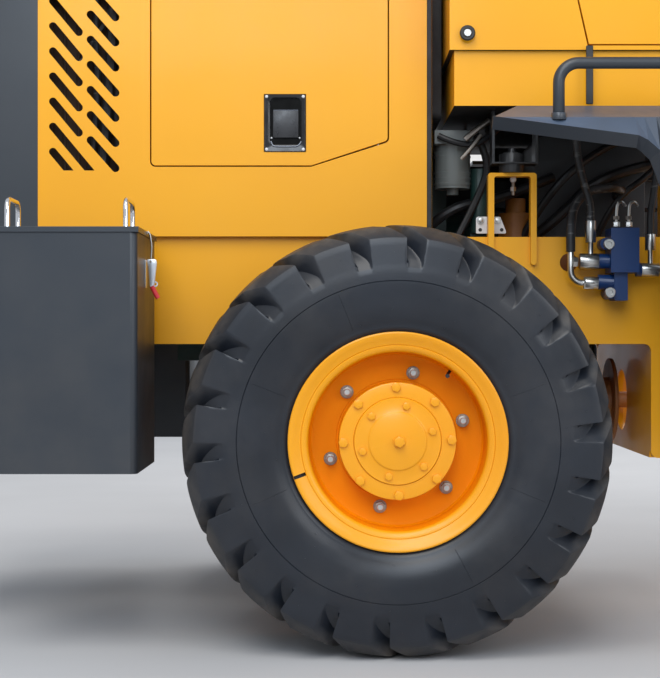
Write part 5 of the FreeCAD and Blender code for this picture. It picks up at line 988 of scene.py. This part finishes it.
def lofted(rings):
    """Rings of points, each joined to the next, the first and the last filled."""
    shape = bmesh.new()
    loops = []
    for points in rings:
        verts = [shape.verts.new(point) for point in points]
        loops.append([shape.edges.new(pair) for pair in zip(verts, verts[1:] + verts[:1])])
    for first, second in zip(loops, loops[1:]):
        bmesh.ops.bridge_loops(shape, edges=first + second)
    bmesh.ops.holes_fill(shape, edges=loops[0] + loops[-1], sides=0)
    bmesh.ops.recalc_face_normals(shape, faces=shape.faces)
    return as_mesh(shape)


def slab(width, height, corner, thick, inset=0.0010):
    """A rounded plate with a narrow chamfer round its face."""
    return lofted((ring(width, height, corner, 0), ring(width, height, corner, thick),
                   ring(width - 2 * inset, height - 2 * inset, corner, thick + inset)))


def dome(radius, height, steps=20):
    """A rivet's or a lens's low dome."""
    profile = [(radius, 0)] + [(radius * math.cos(turn), height * math.sin(turn))
                               for turn in (0.35, 0.7, 1.05, 1.35)] + [(0, height)]
    return turned(profile, steps)


def socket_screw(radius, height):
    """A plug's round head with the hole for its key."""
    return turned([(radius, 0), (radius, height * 0.8), (radius * 0.88, height),
                   (radius * 0.5, height), (radius * 0.46, height * 0.9),
                   (radius * 0.44, height * 0.3), (0, height * 0.3)], 28)


SIDES = (("right", Matrix()), ("left", OTHER_SIDE))
print("lofts ready")

# %% [markdown]
# ### Door latch
# The latch fills the recess in the engine door: a black frame, a tray that is
# lower at its foot, its floor painted near black as painted shade, and a paddle
# in the tray. Bluish grey rods along the tray's lower lip and the paddle's top
# edge are painted highlights.

# %% Door latch
LATCH_BASE = spot(-0.301, 0.4935, 1.4255)
TRAY_FLOOR = 0.0064
TRAY_MIDDLE = (0.002, 0.0050)
RIVETS_FROM = 0.0138
latch_frame = lofted((
    ring(0.119, 0.164, 0.004, 0.0), ring(0.119, 0.164, 0.004, 0.0125),
    ring(0.116, 0.161, 0.003, 0.0143), ring(0.096, 0.141, 0.017, 0.0132, (0.002, 0.0035)),
    ring(0.090, 0.134, 0.014, 0.0115, (0.002, 0.0045)),
    ring(0.087, 0.130, 0.012, TRAY_FLOOR, TRAY_MIDDLE)))
tray_floor = lofted(ring(0.0865, 0.1295, 0.012, level, TRAY_MIDDLE)
                    for level in (0.0050, TRAY_FLOOR + 0.0003))
# a bluish grey rod on the tray's lower lip: a painted highlight
lip_highlight = rod([(-0.040, -0.052, 0.0125), (-0.036, -0.066, 0.0142), (-0.02, -0.0668, 0.0145),
                 (0.022, -0.0668, 0.0145), (0.040, -0.066, 0.0142), (0.046, -0.052, 0.0125)], 0.0022)
latch_paddle = block((0.073, 0.079, 0.0052), 0.0018, 3)
for side, mirrored in SIDES:
    latch = Piece(f"door_latch_{side}")
    base = mirrored @ at(LATCH_BASE)
    latch.add(latch_frame, "gloss_plastic", base)
    # the tray's floor is near black: painted shade in the recess
    latch.add(tray_floor, "tray_shade_black", base)
    latch.add(lip_highlight, "latch_edge", base)
    latch.add(latch_paddle, "paddle_plastic", base @ Matrix.Translation((0.002, -0.0025, TRAY_FLOOR)))
    # a thin bluish grey rod on the paddle's top edge: a painted highlight
    latch.add(rod([(-0.033, 0.0365, 0.0116), (0.037, 0.0365, 0.0116)], 0.0011, 2), "latch_edge",
              base)
    latch.add(dome(0.0046, 0.0026), "white_plate",
              *(base @ Matrix.Translation((across, up, RIVETS_FROM))
                for across in (-0.0522, 0.0522) for up in (-0.0748, 0.0750)))
    latch.add(dome(0.0028, 0.003), "white_plate",
              *(base @ Matrix.Translation((across, -0.042, TRAY_FLOOR))
                for across in (-0.0385, 0.0415)))
    latch.done(f"engine_door_{side}")
print("door latches")

# %% [markdown]
# ### Box toggle
# A hook on the lid, drawn down by a lever with a red grip on the box. The hook
# rides on the lid and the lever on the box, so the lid can open.

# %% Box toggle
BOX_FRONT = -0.664
TOGGLE_OUT = 0.80


def on_box(forward, height, across=0.0):
    """A point before the box's front face."""
    return spot(BOX_FRONT + forward, TOGGLE_OUT + across, height)


hook_rod = rod([on_box(0.014, 1.026), on_box(0.017, 1.055), on_box(0.013, 1.083),
                on_box(0.010, 1.094), on_box(0.005, 1.098), on_box(0.002, 1.090)], 0.0026)
lever_cheek = plate([(-0.008, 0.012), (0.014, 0.012), (0.017, 0.004), (0.010, -0.058),
                     (0.000, -0.062), (-0.004, -0.010)], 0.0022, 0.0005, 0.002)
lever_grip = rod([(0.004, -0.058, 0), (0.013, -0.078, 0), (0.021, -0.092, 0)], 0.0065)
for side, mirrored in SIDES:
    keeper = Piece(f"toggle_keeper_{side}")
    keeper.add(slab(0.030, 0.012, 0.002, 0.0035), "bright_steel",
               mirrored @ ahead(on_box(-0.001, 1.091)))
    keeper.add(hook_rod, "bright_steel", mirrored)
    keeper.done(f"box_lid_{side}")
    toggle = Piece(f"box_toggle_{side}")
    for across in (-0.009, 0.007):
        toggle.add(lever_cheek, "zinc_steel", mirrored @ at(on_box(0.012, 1.012, across)))
    toggle.add(rod([on_box(0.014, 1.018, -0.012), on_box(0.014, 1.018, 0.013)], 0.0032, 2),
               "bare_nut", mirrored)
    toggle.add(turned([(0.0075, -0.0015), (0.0075, 0.0015), (0.0042, 0.0015), (0.0042, -0.0015),
                       (0.0075, -0.0015)], 20), "zinc_steel", mirrored @ at(on_box(0.025, 0.958, 0.0)))
    toggle.add(slab(0.034, 0.075, 0.003, 0.002), "zinc_steel",
               mirrored @ ahead(on_box(-0.001, 0.985)))
    toggle.add(lever_grip, "red_grip", mirrored @ at(on_box(0.012, 1.012, -0.001)))
    toggle.done("rear")
print("box toggles")

# %% [markdown]
# ### Behind the louvres
# A dark mat stands behind the slots, with hoses before it at the forward column.

# %% Mats and hoses behind the slots
behind = Piece("louvre_backing")
mat = plate(rectangle(0.262, 0.600), 0.004, 0.001, 0.01)
mat_rib = rod([(0, -0.28, 0), (0, 0.28, 0)], 0.006, 2)
LOUVRE_HOSES = (
    # radius, then points: forward of the rear axle, height
    (0.017, ((-0.83, 1.27), (-0.815, 1.42), (-0.80, 1.60), (-0.79, 1.86))),
    (0.013, ((-0.77, 1.27), (-0.79, 1.45), (-0.765, 1.62), (-0.75, 1.86))),
    (0.010, ((-0.86, 1.30), (-0.835, 1.52), (-0.85, 1.70), (-0.84, 1.86))),
    (0.008, ((-0.78, 1.86), (-0.80, 1.74), (-0.86, 1.66), (-0.90, 1.58))),
)
for side, mirrored in SIDES:
    middle = mirrored @ at(spot(-0.8775, 0.434, 1.553))
    behind.add(mat, "brown_mat", middle)
    behind.add(mat_rib, "brown_mat", *(middle @ Matrix.Translation((across, 0, 0.004))
                                       for across in (-0.10, -0.06, -0.02)))
    for radius, points in LOUVRE_HOSES:
        line = [spot(along, 0.462 - radius * 0.2, height) for along, height in points]
        behind.add(rod(line, radius), "hose_rubber", mirrored)
behind.done("rear")
print("louvre backing")

# %% [markdown]
# ### Bay below the cab
# Black sheets close the bay at the far side and behind the cab: painted shade
# where the bay is dark. Hoses cross it, and the small steel parts stand at the
# places that the photograph gives.

# %% Bay below the cab
FAR_SIDE = 0.366
# black sheets at the bay's far side and behind the cab: painted shade where the bay is dark
bay = Piece("bay_shade_sheets")
far_shade_sheet = plate([(-1.300, 1.085), (-0.455, 1.085), (-0.455, 1.468), (-1.040, 1.468),
                   (-1.075, 1.405), (-1.300, 1.405)], 0.004, 0.001, 0.006)
bay.add(far_shade_sheet, "black_paint", at((0, FAR_SIDE, 0)))
for height in (1.16, 1.26, 1.36):
    ends = [(along, FAR_SIDE - 0.006, height) for along in (-1.28, -0.48)]
    bay.add(rod(ends, 0.007, 2), "black_paint")
# a black rubber plate behind the cab fills the dark gap: painted shade
gap_shade_plate = plate(rectangle(0.80, 0.50), 0.030, 0.004, 0.02)
bay.add(gap_shade_plate, "seal_rubber", ahead((-1.2955, 0, 1.715)))
bay.done("rear")

BAY_HOSES = (
    # radius, then points: forward of the rear axle, out to the right, height
    (0.015, ((0.10, 0.30, 1.12), (0.17, 0.36, 1.20), (0.32, 0.30, 1.22), (0.50, 0.20, 1.30))),
    (0.012, ((0.40, 0.24, 1.11), (0.47, 0.30, 1.24), (0.60, 0.27, 1.36), (0.72, 0.16, 1.42))),
    (0.016, ((0.43, 0.21, 1.11), (0.52, 0.26, 1.18), (0.63, 0.25, 1.30), (0.80, 0.18, 1.34))),
    (0.010, ((0.62, 0.28, 1.11), (0.66, 0.33, 1.22), (0.78, 0.30, 1.30), (0.88, 0.20, 1.40))),
    (0.011, ((0.24, 0.40, 1.42), (0.30, 0.38, 1.34), (0.26, 0.36, 1.22), (0.20, 0.38, 1.11))),
    (0.009, ((0.14, 0.42, 1.40), (0.22, 0.43, 1.36), (0.30, 0.42, 1.40), (0.34, 0.38, 1.45))),
)
BAY_PIPES = (
    (0.009, ((0.216, 0.45, 1.385), (0.245, 0.455, 1.412), (0.285, 0.45, 1.440))),
    (0.006, ((0.205, 0.44, 1.33), (0.235, 0.445, 1.36), (0.262, 0.44, 1.40))),
)
hoses = Piece("bay_hoses")
for rows, finish_name in ((BAY_HOSES, "plain_hose"), (BAY_PIPES, "bare_nut")):
    for radius, points in rows:
        hoses.add(rod([spot(*point) for point in points], radius), finish_name)
hoses.done("rear")

bracket = Piece("strap_bracket")
bracket_plate = plate([(0, 0), (0.086, 0), (0.087, 0.006), (0.070, 0.049), (0.004, 0.049),
                       (0, 0.044)], 0.004, 0.0008, 0.003)
corner = spot(0.248, 0.436, 1.115)
bracket.add(bracket_plate, "white_plate", at(corner))
bracket.add(stepped_head(0.013, 0.006, 0.0105), "bright_steel",
            *(at(corner + Vector((across, -0.004, 0.038))) for across in (0.013, 0.062)))
bracket.add(turned([(0.0052, 0), (0.0052, 0.0006), (0, 0.0006)], 20), "seal_rubber",
            *(at(corner + Vector((across, -0.004, 0.011))) for across in (0.012, 0.074)))
stud = spot(0.354, 0.448, 1.225)
bracket.add(rod([stud, stud + Vector((0, 0, 0.045))], 0.005, 2), "bare_nut")
bracket.add(hexagon(0.016, 0.012), "bright_steel", upright(stud + Vector((0, 0, 0.012))))
bracket.add(turned([(0, -0.0095), (0.0055, -0.0078), (0.0090, -0.003), (0.0095, 0.001),
                    (0.0075, 0.006), (0.004, 0.009), (0, 0.0095)], 20), "white_plate",
            upright(stud + Vector((0, 0, 0.045))))
bracket.done("rear")

filter_low, filter_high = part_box("fuel_filter")
ribbed = Piece("filter_ribs")
rib_profile = [(0.0520, -0.064)]
for level in (-0.050, -0.034, -0.018, 0.030, 0.042, 0.054):
    rib_profile += [(0.0520, level - 0.004), (0.0535, level - 0.0015), (0.0535, level + 0.0015),
                    (0.0520, level + 0.004)]
rib_profile += [(0.0520, 0.064), (0.0505, 0.064), (0.0505, -0.064), (0.0520, -0.064)]
canister = Vector(((filter_low.x + filter_high.x) / 2, filter_low.y + 0.057, 1.330))
ribbed.add(turned(rib_profile, 40), "canister_paint", upright(canister))
ribbed.done("rear")
print("bay dressed")

# %% [markdown]
# ### Steering valve and frame plugs
# Bright plugs with sockets face the camera, and two bent pipes stand on top.

# %% Valve plugs and pipes
VALVE_FACE = -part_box("steering_valve")[0].y
dressing = Piece("valve_plugs")
for along, height in ((0.6075, 1.077), (0.6105, 0.9415)):
    dressing.add(socket_screw(0.0150, 0.008), "bright_steel", at(spot(along, VALVE_FACE, height)))
for along in (0.634, 0.669):
    foot = spot(along, VALVE_FACE - 0.035, 1.128)
    dressing.add(hexagon(0.019, 0.014), "bright_steel", upright(foot, 12))
    dressing.add(hexagon(0.015, 0.010), "bare_nut", upright(foot + Vector((0, 0, 0.020)), 40))
    bend = [foot, foot + Vector((0, 0, 0.045)), foot + Vector((0.004, 0, 0.068)),
            foot + Vector((0.020, 0.004, 0.072)), foot + Vector((0.027, 0.010, 0.058))]
    dressing.add(rod(bend, 0.0042), "bright_steel")
for along, height, across, long in ((0.543, 0.969, 0.032, 0.030), (0.513, 1.029, 0.026, 0.014)):
    dressing.add(hexagon(across, long), "bright_steel",
                 Matrix.Translation(spot(along, 0.535, height))
                 @ Matrix.Rotation(math.radians(90), 4, "Y"))
dressing.done("rear")

plugs = Piece("frame_plugs")
for side, mirrored in SIDES:
    face = mirrored @ at(spot(0.552, 0.462, 0.861))
    plugs.add(turned([(0.0155, 0), (0.0155, 0.003), (0.0135, 0.0045), (0.0080, 0.0045),
                      (0.0075, 0.003), (0, 0.003)], 28), "bare_nut", face)
    plugs.add(dome(0.0072, 0.003), "red_plug", face @ Matrix.Translation((0, 0, 0.003)))
plugs.done("rear")
print("valve dressed")

# %% [markdown]
# ### Trim of hood and cab
# A rubber seal runs up the hood's front edge. The cab carries a lock and a black
# guide strip below the door.

# %% Trim of hood and cab
trim = Piece("hood_and_cab_trim")
seal = lofted((ring(0.014, 0.86, 0.004, 0), ring(0.014, 0.86, 0.004, 0.002),
               ring(0.010, 0.856, 0.004, 0.0045)))
strip = slab(0.0195, 0.162, 0.003, 0.003, 0.0015)
for side, mirrored in SIDES:
    trim.add(seal, "seal_rubber", mirrored @ at(spot(0.1095, 0.5045, 1.535)))
    trim.add(strip, "black_plastic", mirrored @ at(spot(0.543, 0.6445, 1.540)))
    lock = mirrored @ at(spot(0.2064, 0.6445, 1.6557))
    trim.add(turned([(0.0215, 0), (0.0215, 0.003), (0.0185, 0.006), (0.0125, 0.006),
                     (0.0115, 0.004), (0, 0.004)], 32), "black_plastic", lock)
    trim.add(turned([(0.0110, 0.003), (0.0110, 0.006), (0.0095, 0.0075), (0, 0.0075)], 28),
             "bright_steel", lock)
trim.done("rear")
print("trim placed")

# %% [markdown]
# ### Lamps on the front frame
# Each work lamp has a black bezel and two round lenses in its forward face.

# %% Lamp lenses
lamp_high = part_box("front_lamps")[1]
LAMP_BODY_HALF, LAMP_FACE_HEIGHT = 0.065, 1.635
bezel = lofted((ring(0.112, 0.122, 0.012, 0.0), ring(0.112, 0.122, 0.012, 0.004),
                ring(0.106, 0.116, 0.010, 0.006), ring(0.096, 0.106, 0.008, 0.003)))
lenses = Piece("lamp_lenses")
for side, mirrored in SIDES:
    face = (mirrored @ Matrix.Translation((lamp_high.x, -(lamp_high.y - LAMP_BODY_HALF),
                                           LAMP_FACE_HEIGHT))
            @ Matrix.Rotation(math.radians(90), 4, "Y"))
    lenses.add(bezel, "black_plastic", face)
    for across in (-0.026, 0.026):
        lens = face @ Matrix.Translation((0, across, 0.003))
        lenses.add(dome(0.0235, 0.008, 28), "lamp_clear", lens)
        lenses.add(turned([(0.0255, 0), (0.0255, 0.004), (0.0235, 0.005), (0.0235, 0),
                           (0.0255, 0)], 28), "chrome_rod", lens)
lenses.done("front")
print("lenses placed")

# %% [markdown]
# ## Seat
# The cushion and the back rest are blown up a little by a cloth simulation, so
# that they are crowned and pull in at their corners. The movement is capped,
# the underside is pressed flat, and the sewn channels are drawn in afterward.

# %% Cushions
PRESSURE = 4
CLOTH_FRAMES = 20
VOXEL = 0.006


def evaluated(piece):
    graph = bpy.context.evaluated_depsgraph_get()
    return bpy.data.meshes.new_from_object(piece.evaluated_get(graph))


def blown_up(size, cap):
    """A cushion standing on its flat underside."""
    holder = bpy.data.objects.new("cushion", block(size, 0.022, 4))
    scene.collection.objects.link(holder)
    remesh = holder.modifiers.new("remesh", "REMESH")
    remesh.mode = "VOXEL"
    remesh.voxel_size = VOXEL
    start = evaluated(holder)
    holder.modifiers.clear()
    holder.data = start
    cloth = holder.modifiers.new("cloth", "CLOTH")
    cloth.settings.use_pressure = True
    cloth.settings.uniform_pressure_force = PRESSURE
    cloth.settings.effector_weights.gravity = 0
    for frame_number in range(1, CLOTH_FRAMES + 1):
        scene.frame_set(frame_number)
    swollen = evaluated(holder)
    scene.frame_set(1)
    for before, after in zip(start.vertices, swollen.vertices):
        move = after.co - before.co
        if move.length > cap:
            move *= cap / move.length
        after.co = before.co + move
        after.co.z = max(after.co.z, 0)
    start = swollen
    bpy.data.objects.remove(holder)
    return start


def sew(mesh, lines, depth, width):
    """Draw the upper face in along each line that runs forward, between its two ends."""
    top = max(vertex.co.z for vertex in mesh.vertices)
    for vertex in mesh.vertices:
        for across in lines:
            near = math.exp(-((vertex.co.y - across) / width) ** 2)
            upper = min(1.0, max(0.0, vertex.co.z / top * 2 - 0.8))
            vertex.co.z -= depth * near * upper
    return mesh


CUSHIONS = (
    # length, width, thickness, cap, sewn lines, foot of the pad: x and height, lean
    (0.385, 0.440, 0.088, 0.018, (-0.125, 0.125), (-0.800, 1.782), 0),
    (0.425, 0.440, 0.062, 0.016, (-0.120, 0.120), (-1.034, 2.098), 82),
)
seat = Piece("sewn_seat")
for length, width, thick, cap, lines, (along, height), lean in CUSHIONS:
    cushion = sew(blown_up((length, width, thick), cap), lines, 0.007, 0.007)
    seat.add(cushion, "seat_fabric", Matrix.Translation((along, 0, height))
             @ Matrix.Rotation(math.radians(-lean), 4, "Y") @ Matrix.Rotation(math.pi, 4, "Z")
             if lean else Matrix.Translation((along, 0, height)))
sewn = seat.done("rear", 180)
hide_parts("seat_cushion")
seat_heights = [vertex.co.z for vertex in sewn.data.vertices]
print("seat from", round(min(seat_heights), 3), "to", round(max(seat_heights), 3),
      "with", len(sewn.data.polygons), "faces")

# %% [markdown]
# ## Floor and light
# The floor is a plain pale sheet that meets the pale sky far away. Large soft
# lamps stand in for an overcast sky, high in front of the machine, so that the
# upper faces are lighter than the sides, as in the photograph. The sheet lies a
# little above the lowest point of the tyres, which press flat there.

# %% Floor and light
TYRE_SQUASH = 0.008


def floor_sheet():
    shape = bmesh.new()
    bmesh.ops.create_grid(shape, x_segments=1, y_segments=1, size=30)
    bmesh.ops.translate(shape, verts=shape.verts, vec=(0, 0, TYRE_SQUASH))
    floor = bpy.data.objects.new("floor", as_mesh(shape))
    scene.collection.objects.link(floor)
    return floor


def floor_shader():
    patches = noise(0.8, 3).between(0.2, 0.8)
    return {"Base Color": patches.paint((0.50, 0.50, 0.51), (0.55, 0.55, 0.56)),
            "Roughness": noise(3.0) * 0.1 + 0.7}


floor_sheet().data.materials.append(finish("floor_sheet", floor_shader))

world = bpy.data.worlds.new("sky")
scene.world = world
world.use_nodes = True
Field.tree = world.node_tree
SKY_STRENGTH = 0.62
world.node_tree.nodes["Background"].inputs["Strength"].default_value = SKY_STRENGTH
seen_by_camera = Field.node("ShaderNodeLightPath", out=0)
world.node_tree.links.new(seen_by_camera.paint((0.86, 0.92, 1.0), (1.33, 1.33, 1.33)).socket,
                          world.node_tree.nodes["Background"].inputs["Color"])

LAMPS = (
    # name, place, what it faces, size, watts, colour
    ("high_lamp", (-3.0, -6.0, 8.0), rear_wheel, 5, 400, (1.0, 0.97, 0.92)),
    ("sky_panel", (-2.2, -8.0, 4.4), rear_wheel, 3.2, 200, (0.80, 0.89, 1.0)),
    ("fill_lamp", (4.0, -7.0, 4.0), (0, 0, 1), 4, 160, (0.93, 0.96, 1.0)),
    ("back_lamp", (1.0, 7.0, 7.0), (0, 0, 1), 5, 420, (1.0, 0.98, 0.95)),
)
for name, place, target, size, watts, colour in LAMPS:
    light = bpy.data.lights.new(name, "AREA")
    light.size = size
    light.energy = watts
    light.color = colour
    lamp = bpy.data.objects.new(name, light)
    lamp.location = place
    lamp.rotation_euler = (Vector(target) - Vector(place)).to_track_quat("-Z", "Y").to_euler()
    scene.collection.objects.link(lamp)
scene.view_settings.view_transform = "Standard"
print("stage set")
